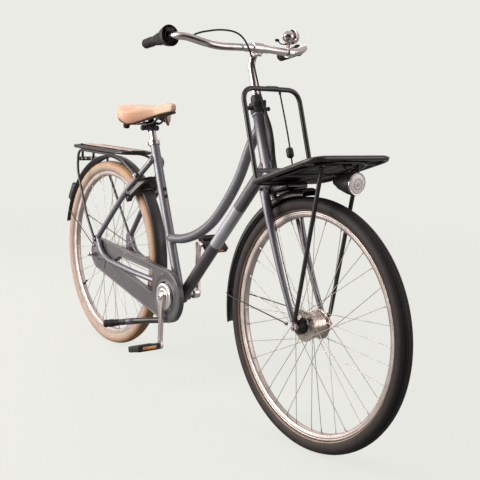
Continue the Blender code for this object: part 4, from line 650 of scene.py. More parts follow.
def tyre(name, centre, finish, body, node_name):
    """A tyre with a rounded wall, a bead line and grooves round its tread."""
    wall = mm((316.8, 12.2), (318.6, 14), (322.5, 18.5), (329, 22.2), (337.5, 23.5), (345, 21.9),
              (350.5, 18.4), (352.4, 16.6))
    half = [(v.x, v.y) for v in smooth([Vector((r, y, 0)) for r, y in wall], 3)]
    tread = mm((353, 15), (353.8, 13.8), (353.1, 13.2), (353.1, 12.2), (354.6, 11.4), (356, 8), (356.4, 6.2),
               (355.5, 5.6), (355.5, 4.8), (356.7, 4), (357, 0))
    half += tread
    profile = half + [(r, -y) for r, y in reversed(half[:-1])]
    profile.append(profile[0])
    piece = turned(name, profile, centre, ACROSS, 200, out=(1, 0, 0), smoothing=50)
    return put(piece, finish, body, node_name)


def rim(name, centre, finish, body, node_name):
    """A double-walled rim: hooked edges, a machined track and a rounded inner wall."""
    half = mm((314, 0), (314, 9.2), (316.6, 10.2), (317.2, 11.2), (316.8, 12.4), (315, 12.7), (314, 12.4),
              (313.1, 11.9), (311, 12.1), (307.8, 12), (306.6, 11.3), (305, 11.1), (303, 10.4), (301.4, 8.8),
              (300.4, 6.2), (300, 3), (300, 0))
    profile = half + [(r, -y) for r, y in reversed(half[:-1])]
    piece = turned(name, profile, centre, ACROSS, 200, out=(1, 0, 0), smoothing=50)
    return put(piece, finish, body, node_name)


def lacing(prefix, centre, flange, phase, body):
    """36 spokes in crossing families, each bent through its flange, with nipples and heads."""
    wires, nipples, heads = [], [], []
    per_side = 18
    for side in (RIGHT, LEFT):
        for i in range(per_side):
            family = 1 if i % 2 else -1
            turn = phase + 2 * math.pi * (i + (0.5 if side == LEFT else 0.0)) / per_side
            root = turn - family * 2 * math.pi * 2.6 / per_side
            eye = centre + Vector((flange * math.cos(root), 0, flange * math.sin(root)))
            start = eye + ACROSS * side * (FLANGE_Y + 0.0021 * family)
            tail = eye + ACROSS * side * (FLANGE_Y - 0.0026 * family)
            end = centre + Vector((0.3004 * math.cos(turn), side * (0.0042 + 0.0014 * family),
                                   0.3004 * math.sin(turn)))
            way = (end - start).normalized()
            wires.append([tail, start + (tail - start) * 0.25, start + way * 0.0012, start + way * 0.004,
                          end])
            nipples.append([end - way * 0.0125, end - way * 0.0115, end - way * 0.004, end + way * 0.0006])
            out = (tail - start).normalized()
            heads.append([tail - out * 0.0008, tail + out * 0.0002, tail + out * 0.001])
    spokes = tidied(drawn(prefix + "_spokes", wires, False, 0.00098, 6))
    put(spokes, "spoke", body)
    nuts = tidied(drawn(prefix + "_nipples", nipples, False, 0.0021, 8, [0.72, 0.95, 1.0, 1.1]))
    put(nuts, "spoke", body)
    ends = tidied(drawn(prefix + "_spoke_heads", heads, False, 0.0021, 8, [0.8, 1.0, 0.45]))
    put(ends, "spoke", body)


def hub_shell(name, centre, profile, finish, body, node_name):
    piece = turned(name, profile, centre, ACROSS * RIGHT, 64, out=(1, 0, 0), smoothing=30)
    return put(piece, finish, body, node_name)


def hub_side(outer, flange, barrel, end, end_radius):
    """One side of a hub's profile: end cap, rounded flange and the stepped barrel's half."""
    inner = outer - 0.0032
    return [(0.0053, end), (end_radius * 0.86, end), (end_radius, end - 0.0012),
            (end_radius + 0.002, outer + 0.0012), (flange * 0.8, outer), (flange - 0.0008, outer),
            (flange, outer - 0.0008), (flange, inner + 0.0008), (flange - 0.0008, inner),
            (barrel + 0.0028, inner - 0.0004), (barrel + 0.0006, inner - 0.003), (barrel, inner - 0.0052),
            (barrel, 0.0085), (barrel - 0.0006, 0.0078), (barrel - 0.0006, 0.0062), (barrel + 0.0002, 0.0055)]


def flange_line(outer, flange, barrel, right_end, right_radius, left_end, left_radius):
    """A hub's profile from right to left, with heights to the right."""
    left = hub_side(outer, flange, barrel, left_end, left_radius)
    return hub_side(outer, flange, barrel, right_end, right_radius) + [(r, -h) for r, h in reversed(left)]


tyre("front_tyre_rubber", FRONT_AXLE, "front_tyre", "front_wheel", "front_tyre")
rim("front_rim_alloy", FRONT_AXLE, "front_rim", "front_wheel", "front_rim")
hub_shell("dynamo_hub", FRONT_AXLE, flange_line(0.0291, 0.043, 0.036, 0.0345, 0.024, 0.0345, 0.024),
          "front_hub", "front_wheel", "front_hub")
lacing("front", FRONT_AXLE, 0.0385, 0.06, "front_wheel")
tyre("rear_tyre_rubber", REAR_AXLE, "rear_tyre", "rear_wheel", "rear_tyre")
rim("rear_rim_alloy", REAR_AXLE, "rear_rim", "rear_wheel", "rear_rim")
hub_shell("geared_hub", REAR_AXLE, flange_line(0.0291, 0.033, 0.027, 0.0432, 0.018, 0.052, 0.02), "rear_hub",
          "rear_wheel", "rear_hub")
lacing("rear", REAR_AXLE, 0.0285, math.radians(5.0), "rear_wheel")


def valve(prefix, centre, degrees, body):
    """An inner tube's valve with its nut and dust cap."""
    way = (round_wheel(centre, degrees, 1.0) - centre).normalized()
    stem = turned(prefix + "_valve", mm((0, 0), (5, 0), (5.2, 2), (4.2, 2.8), (3, 3.4), (3, 20), (3.6, 20.6),
                                        (3.8, 30), (2.8, 31.2), (0, 31.2)), centre + way * 0.3002, -way, 20)
    put(stem, "rubber", body)


valve("front", FRONT_AXLE, 104, "front_wheel")
valve("rear", REAR_AXLE, 216, "rear_wheel")


# Frame tubes

head = turned("head_tube_painted", [
    (0.013, HEAD_LENGTH), (0.0208, HEAD_LENGTH), (0.0215, HEAD_LENGTH - 0.0008),
    (0.0215, HEAD_LENGTH - 0.0075), (0.0208, HEAD_LENGTH - 0.0085), (0.019, HEAD_LENGTH - 0.0115),
    (0.019, 0.0115), (0.0208, 0.0085), (0.0215, 0.0075), (0.0215, 0.0008), (0.0208, 0.0), (0.013, 0.0)],
              STEER_FOOT, HEAD_WAY, 48)
put(head, "paint", "frame", "head_tube")

seat_tube = joined(
    "seat_tube_painted",
    tube("seat_tube_body", [CRANK_AXIS, SEAT_TOP - SEAT_WAY * 0.0006, SEAT_TOP], 0.016, 40, [1.0, 1.0, 0.96]),
    across("shell_body", CRANK_AXIS, -0.034, 0.034, 0.021, 40, 0.001),
    bead("shell_bead", weld_line(CRANK_AXIS, SEAT_WAY, 0.016, CRANK_AXIS, ACROSS, 0.021)),
)
put(seat_tube, "paint", "frame", "seat_tube")

down_tube = joined(
    "down_tube_painted",
    tube("down_tube_body", [DOWN_START, DOWN_END], 0.02, 48),
    bead("down_bead_head", weld_line(DOWN_END, -DOWN_WAY, 0.02, STEER_FOOT, HEAD_WAY, 0.0192)),
    bead("down_bead_shell", weld_line(DOWN_START, DOWN_WAY, 0.02, CRANK_AXIS, ACROSS, 0.0212)),
)
put(down_tube, "down_paint", "frame", "down_tube")

TOP_SHAPE = ((0.0, 0.0), (0.124, 0.077), (0.268, 0.129), (0.42, 0.148), (0.588, 0.129),
             (0.73, 0.093), (0.88, 0.03), (1.0, 0.0))
top_start, top_end = CRANK_AXIS + SEAT_WAY * 0.2, steer(0, 0, 0.158)
chord = top_end - top_start
drop = Vector((chord.z, 0, -chord.x))
top_path = smooth([top_start + chord * u + drop * v for u, v in TOP_SHAPE], 9)
top_tube = joined(
    "top_tube_painted",
    tube("top_tube_body", top_path, 0.016, 40),
    bead("top_bead_seat", weld_line(top_start, (top_path[4] - top_start), 0.016, CRANK_AXIS, SEAT_WAY,
                                    0.0162)),
    bead("top_bead_head", weld_line(top_end, (top_path[-6] - top_end), 0.016, STEER_FOOT, HEAD_WAY, 0.0192)),
)
put(top_tube, "paint", "frame", "top_tube")


def stay_path(side, per=1):
    """From the side of the seat tube down to the axle and forward to the crank's shell."""
    joint = SEAT_TOP - SEAT_WAY * 0.068
    bend = by_axle(0.018, 0.067, 0.072)
    fall = bend - joint
    upper = [
        SEAT_TOP - SEAT_WAY * 0.047 + Vector((-0.008, 0.009, 0)),
        Vector((joint.x - 0.018, 0.0262, joint.z - 0.008)),
        joint + fall * 0.38 + Vector((0.004, 0.05, 0.018)) - Vector((0, fall.y * 0.38, 0)),
        joint + fall * 0.65 + Vector((0.003, 0.06, 0.014)) - Vector((0, fall.y * 0.65, 0)),
        bend,
    ]
    back = STAY_LENGTH
    lower = [
        by_axle(0.052, 0.01, 0.072), by_crank(back - 0.115, 0.007, 0.0722),
        by_crank(back - 0.165, 0.0102, 0.071), by_crank(back - 0.225, 0.0127, 0.0668),
        by_crank(0.205, 0.015, 0.057), by_crank(0.135, 0.0165, 0.042), by_crank(0.09, 0.014, 0.0312),
        by_crank(0.01, 0.008, 0.0215),
    ]
    path = smooth(upper, 4 * per)[:-1]
    path += rounded([upper[-1] * 0.85 + upper[-2] * 0.15, bend, *lower[:2]], 0.028, 4 * per)[1:-1]
    return [mirrored(point, side) for point in path + smooth(lower[1:], 3 * per)]


def dropout(side, name):
    """The plate at the end of a stay, which holds the axle."""
    outline = [(-0.014, 0.0), (-0.01, -0.012), (0.004, -0.015), (0.07, -0.01), (0.082, 0.002), (0.05, 0.02),
               (0.026, 0.066), (0.006, 0.074), (-0.012, 0.07), (-0.016, 0.055), (-0.014, 0.02)]
    y = side * (PLATE_Y - 0.0025)
    loop = rounded([by_axle(x, z, y) for x, z in outline], 0.008, 3, closed=True)
    return slab(name, [loop], (0, side * 0.005, 0), 0.0009)


for side, word in SIDES:
    path = stay_path(side, 2)
    stay = joined(
        f"stay_{word}_painted",
        tube(f"stay_{word}_tube", path, 0.01, 28),
        dropout(side, f"dropout_{word}"),
    )
    put(stay, "paint", "frame", f"stay_{word}")

collar_low = SEAT_TOP - SEAT_WAY * 0.006
collar_back = SEAT_TOP + Vector((-0.0245, 0, -0.002))
collar = turned("seat_collar_band", mm((16.3, 0), (19, 0), (19.8, 1), (19.8, 15), (19, 16), (12.9, 16),
                                       (12.9, 6.2), (16.3, 6.2), (16.3, 0)), collar_low, SEAT_WAY, 48)
ear = block("collar_ear", collar_back, (0.012, 0.016, 0.013), soft=0.002)
slit = block("collar_slit", collar_back + Vector((0.004, 0, 0.0)), (0.024, 0.0022, 0.034), soft=0.0002,
             segments=1)
ear = carved(ear, slit)
bolt = across("collar_bolt", collar_back + Vector((-0.001, 0, 0)), -0.014, 0.014, 0.0035, 20)
bolt_head = across("collar_bolt_head", collar_back + Vector((-0.001, 0, 0)), -0.0155, -0.009, 0.0052, 20)
put(joined("seat_collar_chromed", collar, ear, bolt, bolt_head), "chrome", "frame", "seat_collar")

# Two screws in the front of the seat tube hold the lock's plate
seat_front = Vector((SEAT_WAY.z, 0, -SEAT_WAY.x))
for word, down in (("upper", 0.17), ("lower", 0.196)):
    spot = SEAT_TOP - SEAT_WAY * down + seat_front * SEAT_TUBE_RADIUS
    screw_wall = mm((0, 7.5), (2.6, 7.5), (2.6, 5), (4.6, 6.2), (5.2, 5), (5.2, 1.2), (6.8, 1),
                    (7, -0.5), (0, -0.5))
    screw = turned(f"seat_tube_screw_{word}", screw_wall, spot, seat_front, 24)
    put(screw, "plastic", "frame")


# Rear axle and brake arm

def hex_nut(name, centre, y_from, y_to, radius):
    nut = across(name, centre, y_from, y_to, radius, 6, 0.0002)
    washer = across(name + "_washer", centre, y_from, y_from + (y_to - y_from) * 0.16, radius * 1.12, 28)
    return joined(name, nut, washer)


rear_axle = joined(
    "rear_axle_steel",
    across("rear_axle_rod", REAR_AXLE, -0.086, 0.086, 0.0048, 20),
    hex_nut("rear_nut_left", REAR_AXLE, 0.0728, 0.0815, 0.01),
    hex_nut("rear_nut_right", REAR_AXLE, -0.0728, -0.0815, 0.01),
    across("rear_spacer_right", REAR_AXLE, -0.0585, -0.0672, 0.01, 28),
    across("rear_spacer_left", REAR_AXLE, 0.053, 0.0672, 0.01, 28),
)
put(rear_axle, "steel", "frame", "rear_axle")
axle_cap = turned("axle_cap", mm((0, 24.5), (3, 24.3), (6, 22.8), (7.8, 19.5), (8, 15), (9.8, 14),
                                 (10.5, 12.8), (10.5, 1), (9.8, 0), (5, 0)),
                  REAR_AXLE + Vector((0, -0.081, 0)), -ACROSS, 40)
put(axle_cap, "chrome", "frame")
arm_end = by_crank(STAY_LENGTH - 0.15, 0.0095)
arm_side = UP_WAY * 0.01
arm_points = [REAR_AXLE + Vector((-0.016, 0, 0)), REAR_AXLE + Vector((0, 0, -0.016)),
              arm_end - arm_side * 0.8, arm_end + arm_side * 0.8, REAR_AXLE + Vector((0.004, 0, 0.017))]
arm_line = rounded([Vector((p.x, 0.056, p.z)) for p in arm_points], 0.008, 4, closed=True)
put(slab("brake_arm_steel", [arm_line], (0, 0.003, 0), 0.0006), "steel", "frame")
clip_line = [arm_end + Vector((0, y, z)) for y, z in (
    (0.0535, -0.013), (0.0535, 0.012), (0.084, 0.012), (0.084, -0.013), (0.0535, -0.013))]
put(tube("brake_arm_clip", rounded(clip_line, 0.009, 6), 0.0022, 10), "steel", "frame")


# Chain case

CASE_OPENING = ((0.1005, 0.0605), (STAY_LENGTH - 0.1644, 0.0385), (STAY_LENGTH - 0.12, -0.0009),
                (0.088, -0.0168))


def opening_line(grow, y):
    """The open middle of the case, larger by grow all round."""
    points = [by_crank(along, up, y) for along, up in CASE_OPENING]
    middle = sum(points, Vector()) / len(points)
    loop = rounded(points, 0.012 + grow * 0.4, 6, closed=True)
    line = []
    for i, point in enumerate(loop):
        along = (loop[(i + 1) % len(loop)] - loop[i - 1]).normalized()
        out = Vector((along.z, 0, -along.x))
        line.append(point + out * (grow if out.dot(point - middle) > 0 else -grow))
    return line


def case_shell(name, y_face, y_edge, crank_hole, axle_hole, soft):
    """One half of the case: a face and walls round both outlines, hollow inside."""
    depth = Vector((0, y_edge - y_face, 0))
    shell = slab(name, [belt(CRANK_AXIS, 0.0905, REAR_AXLE, 0.06, 64, y_face), opening_line(0.0, y_face)],
                 depth, 0)
    out = -1 if y_face < y_edge else 1
    hollow = slab(name + "_hollow", [belt(CRANK_AXIS, 0.0889, REAR_AXLE, 0.0584, 64, y_face - out * 0.0016),
                                     opening_line(0.0016, y_face - out * 0.0016)],
                  Vector((0, y_edge - y_face - out * 0.006, 0)), 0)
    shell = carved(shell, hollow, "MANIFOLD")
    shell = carved(shell, across(name + "_crank_hole", CRANK_AXIS, -0.1, 0.0, crank_hole, 72), "MANIFOLD")
    shell = carved(shell, across(name + "_axle_hole", REAR_AXLE, -0.1, 0.0, axle_hole, 48), "MANIFOLD")
    return soften(shell, soft, 4, 50)


outer_case = case_shell("chain_case_cover", -0.06, -0.0516, 0.0515, 0.022, 0.0013)
put(outer_case, "case", "frame", "chain_case_outer")
inner_case = case_shell("chain_case_back", -0.043, -0.0513, 0.03, 0.026, 0.0006)
put(inner_case, "case", "frame", "chain_case_inner")


def raised_edge(name, line, size, lift):
    """A rounded bead moulded along an outline of the case."""
    return tube(name, [point + Vector((0, lift, 0)) for point in line], size, 12, closed=True)


# The beads take a lighter copy of the case's finish, a painted highlight on its edges.
edges = joined(
    "chain_case_edges",
    raised_edge("case_bead_outer", belt(CRANK_AXIS, 0.0868, REAR_AXLE, 0.0563, 80, -0.0594), 0.0036, 0.0012),
    raised_edge("case_bead_inner", opening_line(0.004, -0.0594), 0.0034, 0.0012),
)
put(edges, "case_edge_highlight", "frame")
hole_ring = turned("chain_case_ring", mm((51, -1), (51.2, 1.6), (53, 2.4), (55.6, 2), (58, 0.4), (58.4, -1)),
                   CRANK_AXIS + Vector((0, -0.06, 0)), -ACROSS, 96)
put(hole_ring, "case", "frame")
front_dish = turned("chain_case_front_step", mm((64, -0.8), (64.2, 0.4), (65.5, 1.1), (83, 1.2), (85, -0.8)),
                    CRANK_AXIS + Vector((0, -0.06, 0)), -ACROSS, 96)
put(front_dish, "case", "frame")
rear_seam = []
for up in (0.052, 0.03, 0.008, -0.018, -0.044):
    rear_seam.append(by_crank(STAY_LENGTH - 0.052 - 0.012 * math.cos(up * 24), up, -0.0606))
seam_strip = tube("chain_case_rear_seam", smooth(rear_seam, 4), 0.0011, 8)
put(seam_strip, "plastic", "frame")
for word, along, up in (("front_low", 0.03, -0.068), ("front_top", 0.035, 0.069), ("back_low", 0.36, -0.046),
                        ("back_top", 0.3, 0.064)):
    spot = by_crank(along, up, -0.06)
    screw = turned(f"case_screw_{word}", mm((0, 0.6), (1.4, 0.6), (1.6, 1.4), (3.2, 1.5), (4.2, 0.6),
                                            (4.4, -0.4), (0, -0.4)), spot, -ACROSS, 20)
    put(screw, "steel", "frame")
dressed("chain", "steel")
dressed("chainring", "polished")
dressed("rear_sprocket", "steel")


# Cranks and pedals

ARM_LENGTH, ARM_THICKNESS = 0.17, 0.012


def crank_arm(name, side, up, middle):
    """A forged arm: waisted, with a round boss, a round eye and a shallow hollow along it."""
    tip = CRANK_AXIS + Vector((0, 0, up * ARM_LENGTH))
    y_in, y_out = side * (middle - ARM_THICKNESS / 2), side * (middle + ARM_THICKNESS / 2)
    flank = [(0.011, -0.014), (0.016, 0.0), (0.0125, 0.03), (0.0092, 0.08), (0.0088, 0.145), (0.0118, 0.165),
             (0.012, 0.175), (0.0065, 0.1815)]
    shape = [(-x, z) for x, z in flank[1::-1]] + flank + [(-x, z) for x, z in flank[:0:-1]]
    loop = smooth([Vector((CRANK_AXIS.x + x, y_in, CRANK_AXIS.z + up * z)) for x, z in shape], 3)[:-1]
    arm = slab(name, [loop], (0, y_out - y_in, 0), 0.0022, 4)
    hollow = [Vector((CRANK_AXIS.x + x, y_out + side * 0.001, CRANK_AXIS.z + up * z))
              for x, z in ((-0.0042, 0.034), (0.0042, 0.034), (0.003, 0.148), (-0.003, 0.148))]
    hollow = rounded(hollow, 0.004, 5, closed=True)
    return carved(arm, slab(name + "_groove", [hollow], (0, -side * 0.0022, 0), 0)), tip, y_out


crank_right, right_tip, right_out = crank_arm("crank_right_arm", RIGHT, -1, 0.0755)
crank_right = joined(
    "crank_right_polished", crank_right,
    across("spindle_steel", CRANK_AXIS, 0.05, -0.045, 0.0085, 32),
    across("crank_boss_right", CRANK_AXIS, -0.035, -0.07, 0.018, 48),
    turned("crank_eye_right", mm((0, 1.2), (6.2, 1.2), (7.2, 0.4), (7.4, -1)),
           Vector((right_tip.x, right_out, right_tip.z)), -ACROSS, 32),
)
put(crank_right, "polished", "cranks", "crank_right")
disc = turned("crank_disc", mm((18, 70), (25, 71.6), (27, 70.8), (33, 70.6), (35, 71.6), (42, 71.2),
                               (45.5, 70), (46.8, 68), (47, 64), (45.5, 62.2), (18, 62.2)), CRANK_AXIS,
              -ACROSS, 96)
put(disc, "disc", "cranks")
for word, side, face in (("right", RIGHT, 0.0815), ("left", LEFT, 0.0745)):
    bolt_wall = mm((0, 1.8), (3.5, 1.8), (4, 3), (8, 3.2), (9.8, 2), (10.4, -0.6), (0, -0.6))
    bolt = turned(f"crank_bolt_{word}", bolt_wall, CRANK_AXIS + Vector((0, side * face, 0)),
                  ACROSS * side, 36)
    put(bolt, "chrome", "cranks")

crank_left, left_tip, left_out = crank_arm("crank_left_arm", LEFT, 1, 0.0685)
crank_left = joined("crank_left_polished", crank_left,
                    across("crank_boss_left", CRANK_AXIS, 0.0503, 0.069, 0.018, 48))
put(crank_left, "polished", "cranks", "crank_left")


def pedal(side, word, tip, y_out, tilt):
    """A city pedal: end plates, ribbed treads, a barrel on the axle and a reflector on each long side."""
    middle = Vector((tip.x, y_out + side * 0.0555, tip.z))
    turn = Matrix.Rotation(math.radians(tilt), 4, "Y")
    hang = Matrix.Translation(middle) @ turn @ Matrix.Translation(-middle)
    parts = [across(f"pedal_barrel_{word}", middle, middle.y - 0.0425, middle.y + 0.0425, 0.0098, 32)]
    for end in (-1, 1):
        parts.append(block(f"pedal_end_{word}", middle + Vector((0, end * 0.0405, 0)),
                           (0.07, 0.0065, 0.0195), soft=0.0026))
    for front in (-1, 1):
        for up in (-1, 1):
            parts.append(block(f"pedal_tread_{word}", middle + Vector((front * 0.0265, 0, up * 0.0063)),
                               (0.0185, 0.078, 0.0078), soft=0.0018))
            for i in range(9):
                spot = middle + Vector((front * 0.0265, (i - 4) * 0.0088, up * 0.0101))
                parts.append(block(f"pedal_rib_{word}", spot, (0.015, 0.0034, 0.0014), soft=0.0004,
                                   segments=1))
        parts.append(block(f"pedal_wall_{word}", middle + Vector((front * 0.0335, 0, 0)),
                           (0.004, 0.078, 0.008), soft=0.0006))
    body = joined(f"pedal_{word}_body", *parts)
    body.data.transform(hang)
    put(body, "plastic", f"pedal_{word}_body", f"pedal_{word}")
    strips = []
    for front in (-1, 1):
        strips.append(block(f"reflector_{word}", middle + Vector((front * 0.0352, 0, 0)),
                            (0.0018, 0.052, 0.0098), soft=0.0006))
    glass = joined(f"pedal_{word}_reflectors", *strips)
    glass.data.transform(hang)
    put(glass, "amber", f"pedal_{word}_body")
    axle = joined(
        f"pedal_{word}_axle",
        across(f"pedal_pin_{word}", tip, y_out - side * 0.004, y_out + side * 0.096, 0.0048, 20),
        across(f"pedal_flat_{word}", tip, y_out + side * 0.0005, y_out + side * 0.0085, 0.0078, 6),
    )
    put(axle, "steel", "cranks")


# In the photo the right pedal hangs with its front up, and the left one with its front down
pedal(RIGHT, "right", right_tip, right_out, -16)
pedal(LEFT, "left", left_tip, left_out, 36)


# Mudguards

def guard(name, centre, start, stop, finish, body, node_name, half, skirt):
    """A curved sheet over part of a wheel, with rolled edges and a shallow rib down its middle."""
    ring = GUARD_RADIUS
    side = [(ring - skirt - 0.0005, half - 0.0012), (ring - skirt - 0.0013, half - 0.0002),
            (ring - skirt, half), (ring - skirt * 0.68, half * 0.945), (ring - skirt * 0.39, half * 0.84),
            (ring - skirt * 0.16, half * 0.62), (ring - 0.0004, half * 0.36), (ring + 0.0006, half * 0.16)]
    profile = side + [(r, -y) for r, y in reversed(side)]
    begin = round_wheel(centre, start, 1.0) - centre
    piece = turned(name, profile, centre, -ACROSS, 96, stop - start, out=begin, smoothing=60)
    return put(tidied(walled(piece, 0.0012), 40), finish, body, node_name)


def guard_wire(name, centre, angle, foot, body, half):
    """A wire stay from both axle ends round the back of a mudguard."""
    out, half = GUARD_RADIUS + 0.001, half + 0.0008
    path = [Vector((foot.x, -foot.y, foot.z)), round_wheel(centre, angle, out - 0.03, -half - 0.004),
            round_wheel(centre, angle, out + 0.001, -half * 0.72),
            round_wheel(centre, angle, out + 0.001, half * 0.72),
            round_wheel(centre, angle, out - 0.03, half + 0.004), Vector(foot)]
    wire = tube(name, rounded(path, 0.012, 6), 0.0019, 12)
    lugs = []
    for side in (RIGHT, LEFT):
        end = mirrored(foot, side)
        lugs.append(across(name + "_eye", end, end.y - 0.0028, end.y + 0.0028, 0.0058, 24))
        lugs.append(across(name + "_screw", end, end.y - side * 0.001, end.y + side * 0.0062, 0.0036, 6))
    bridge = block(name + "_bridge", round_wheel(centre, angle, out - 0.0002), (0.003, 0.02, 0.015),
                   Matrix.Rotation(-math.radians(angle), 4, "Y"), 0.001)
    put(joined(name, wire, bridge), "tube_black", body)
    put(joined(name + "_lugs", *lugs), "steel", body)


FRONT_GUARD_HALF, REAR_GUARD_HALF = 0.029, 0.023
guard("front_guard_sheet", FRONT_AXLE, 96, 192, "gloss", "steering", "front_mudguard", FRONT_GUARD_HALF,
      0.019)
guard_wire("front_guard_wire", FRONT_AXLE, 178, FRONT_AXLE + Vector((-0.03, 0.0682, 0.006)), "steering",
           FRONT_GUARD_HALF)
guard("rear_guard_sheet", REAR_AXLE, -14, 169, "satin", "frame", "rear_mudguard", REAR_GUARD_HALF, 0.0056)
guard_wire("rear_guard_wire", REAR_AXLE, 160, REAR_AXLE + Vector((-0.01, 0.0752, 0.03)), "frame",
           REAR_GUARD_HALF)

# Tail light: a tall housing on the mudguard with a red lens at its back
LIGHT_DEGREES = 148.7
light_turn = Matrix.Rotation(math.radians(-LIGHT_DEGREES), 4, "Y")
light_middle = round_wheel(REAR_AXLE, LIGHT_DEGREES, GUARD_RADIUS + 0.0095)
tail = block("tail_light_housing", light_middle, (0.028, 0.045, 0.081), light_turn, 0.0075, 5)
tail = carved(tail, turned("tail_space", mm((360, -40), (381.2, -40), (381.2, 40), (360, 40), (360, -40)),
                           REAR_AXLE, ACROSS, 160))
put(tail, "gloss", "frame", "tail_light")
lens_spot = round_wheel(REAR_AXLE, LIGHT_DEGREES, GUARD_RADIUS + 0.0222)
put(block("tail_light_lens", lens_spot, (0.0042, 0.034, 0.062), light_turn, 0.0018, 4), "red", "frame")
for word, shift in (("low", -0.0445), ("high", 0.0445)):
    spot = round_wheel(REAR_AXLE, LIGHT_DEGREES - math.degrees(shift / 0.385), GUARD_RADIUS + 0.001)
    put(turned(f"tail_light_nut_{word}", mm((0, 4), (3, 3.8), (4.4, 2.2), (4.6, -0.4), (0, -0.4)),
               spot, (spot - REAR_AXLE), 6), "steel", "frame")


# Rear carrier

rack_front, rack_back, rack_y = -0.404 + SHIFT.x, -0.825 + SHIFT.x, 0.0635
rack_middle = (rack_front + rack_back) / 2
rack_corners = ((rack_front, rack_y), (rack_back, rack_y), (rack_back, -rack_y), (rack_front, -rack_y))
rack_loop = rounded([Vector((x, y, RACK_Z)) for x, y in rack_corners], 0.04, 12, closed=True)
rack_parts = [tube("rack_loop", rack_loop, 0.0065, 24, closed=True)]
for x in (rack_front - 0.085, rack_middle, rack_back + 0.085):
    rack_parts.append(tube("rack_cross", [(x, -rack_y, RACK_Z), (x, rack_y, RACK_Z)], 0.0042, 16))
for y in (-0.024, 0.024):
    rack_parts.append(tube("rack_long", [(rack_front, y, RACK_Z - 0.001), (rack_back, y, RACK_Z - 0.001)],
                           0.004, 16))
plate_x, plate_z = rack_back + 0.012, RACK_Z - 0.052
rack_parts.append(block("lamp_plate", (plate_x, 0, plate_z), (0.0035, 0.076, 0.016), soft=0.0012))
for y in (-0.024, 0.024):
    rack_parts.append(block("lamp_arm", (plate_x, y, RACK_Z - 0.026), (0.0035, 0.01, 0.056), soft=0.001))
put(joined("rear_carrier_frame", *rack_parts), "tube_black", "frame", "rear_carrier")
plate_bolts = []
for y in (-0.029, -0.012, 0.012, 0.029):
    plate_bolts.append(turned("plate_bolt", mm((0, 4), (2.2, 4), (3.4, 3), (3.6, 1.4), (4.8, 1.2), (5, 0.4)),
                              Vector((plate_x + 0.0014, y, plate_z)), (1, 0, 0), 20))
put(joined("lamp_plate_bolts", *plate_bolts), "polished", "frame")


def rail_line(side):
    foot_y, under = PLATE_Y + 0.0078, RACK_Z - 0.0065 - 0.005 + 0.0004
    points = stay_path(LEFT)
    landing = min(points, key=lambda p: abs(p.x - (REAR_AXLE.x + 0.252)) + (p.z < 0.6) * 9)
    spot = landing + Vector((0, 0.0155, 0))
    path = [by_axle(-0.0045, 0.06, foot_y), by_axle(-0.072, 0.145, foot_y), by_axle(-0.18, 0.31, 0.0665),
            by_axle(-0.178, under - REAR_AXLE.z, rack_y), Vector((REAR_AXLE.x + 0.12, rack_y, under)),
            Vector((REAR_AXLE.x + 0.175, rack_y, under - 0.01)), spot]
    return [mirrored(p, side) for p in rounded(path, 0.035, 8)], mirrored(spot, side)


for side, word in SIDES:
    line, spot = rail_line(side)
    first = (line[0] - line[1]).normalized()
    rail = tube(f"carrier_rail_{word}_rod", [line[0] + first * 0.01, line[0] + first * 0.002, *line[1:]],
                0.005, 20)
    foot_eye = across(f"rail_foot_{word}", line[0] + first * 0.006, line[0].y - side * 0.0048,
                      line[0].y + side * 0.003, 0.0092, 28)
    top_eye = across(f"rail_eye_{word}", spot, spot.y - side * 0.0048, spot.y + side * 0.003, 0.0098, 28)
    put(joined(f"carrier_rail_{word}_steel", rail, foot_eye, top_eye), "tube_black", "frame",
        f"carrier_rail_{word}")
    bolts = []
    for centre, radius in ((line[0] + first * 0.006, 0.0052), (spot, 0.006)):
        bolts.append(across(f"rail_bolt_{word}", centre, centre.y + side * 0.0028, centre.y + side * 0.0085,
                            radius, 6))
        bolts.append(across(f"rail_washer_{word}", centre, centre.y + side * 0.0026, centre.y + side * 0.004,
                            radius * 1.35, 24))
    put(joined(f"carrier_rail_{word}_bolts", *bolts), "chrome", "frame")


# Straps along the carrier: three bands over a hook at each end
strap_z = RACK_Z + 0.0068
HOOK_WIDTH = 0.052
reach = (rack_front - rack_back) / 2 + 0.01


def strap(name, y, width):
    """A flat elastic band laid along the carrier and hooked round both ends."""
    path = [(rack_middle + reach - 0.0105, strap_z + 0.0014), (rack_middle + reach - 0.03, strap_z + 0.0016),
            (rack_middle, strap_z + 0.0012), (rack_middle - reach + 0.03, strap_z + 0.0016),
            (rack_middle - reach + 0.0105, strap_z + 0.0014)]
    line = [Vector((x, y - width / 2, z)) for x, z in path]
    return soften(strip(name, smooth(line, 5), width, 0.0022), 0.0005, 2, 60)


bands = [strap("strap_right", -0.0185, 0.013), strap("strap_middle", 0.0, 0.013),
         strap("strap_left", 0.0185, 0.013)]
put(joined("carrier_bands", *bands), "strap", "frame", "carrier_straps")
hooks = []
for x, out in ((rack_front, 1), (rack_back, -1)):
    bend = [(x - out * 0.01, strap_z + 0.001), (x - out * 0.002, strap_z + 0.0012),
            (x + out * 0.0055, RACK_Z + 0.0052), (x + out * 0.008, RACK_Z - 0.001),
            (x + out * 0.0062, RACK_Z - 0.0058)]
    line = [Vector((bend_x, -HOOK_WIDTH / 2, bend_z)) for bend_x, bend_z in bend]
    hooks.append(strip("strap_hook", smooth(line, 4), HOOK_WIDTH, 0.0026))
put(joined("carrier_band_hooks", *hooks), "rubber", "frame")


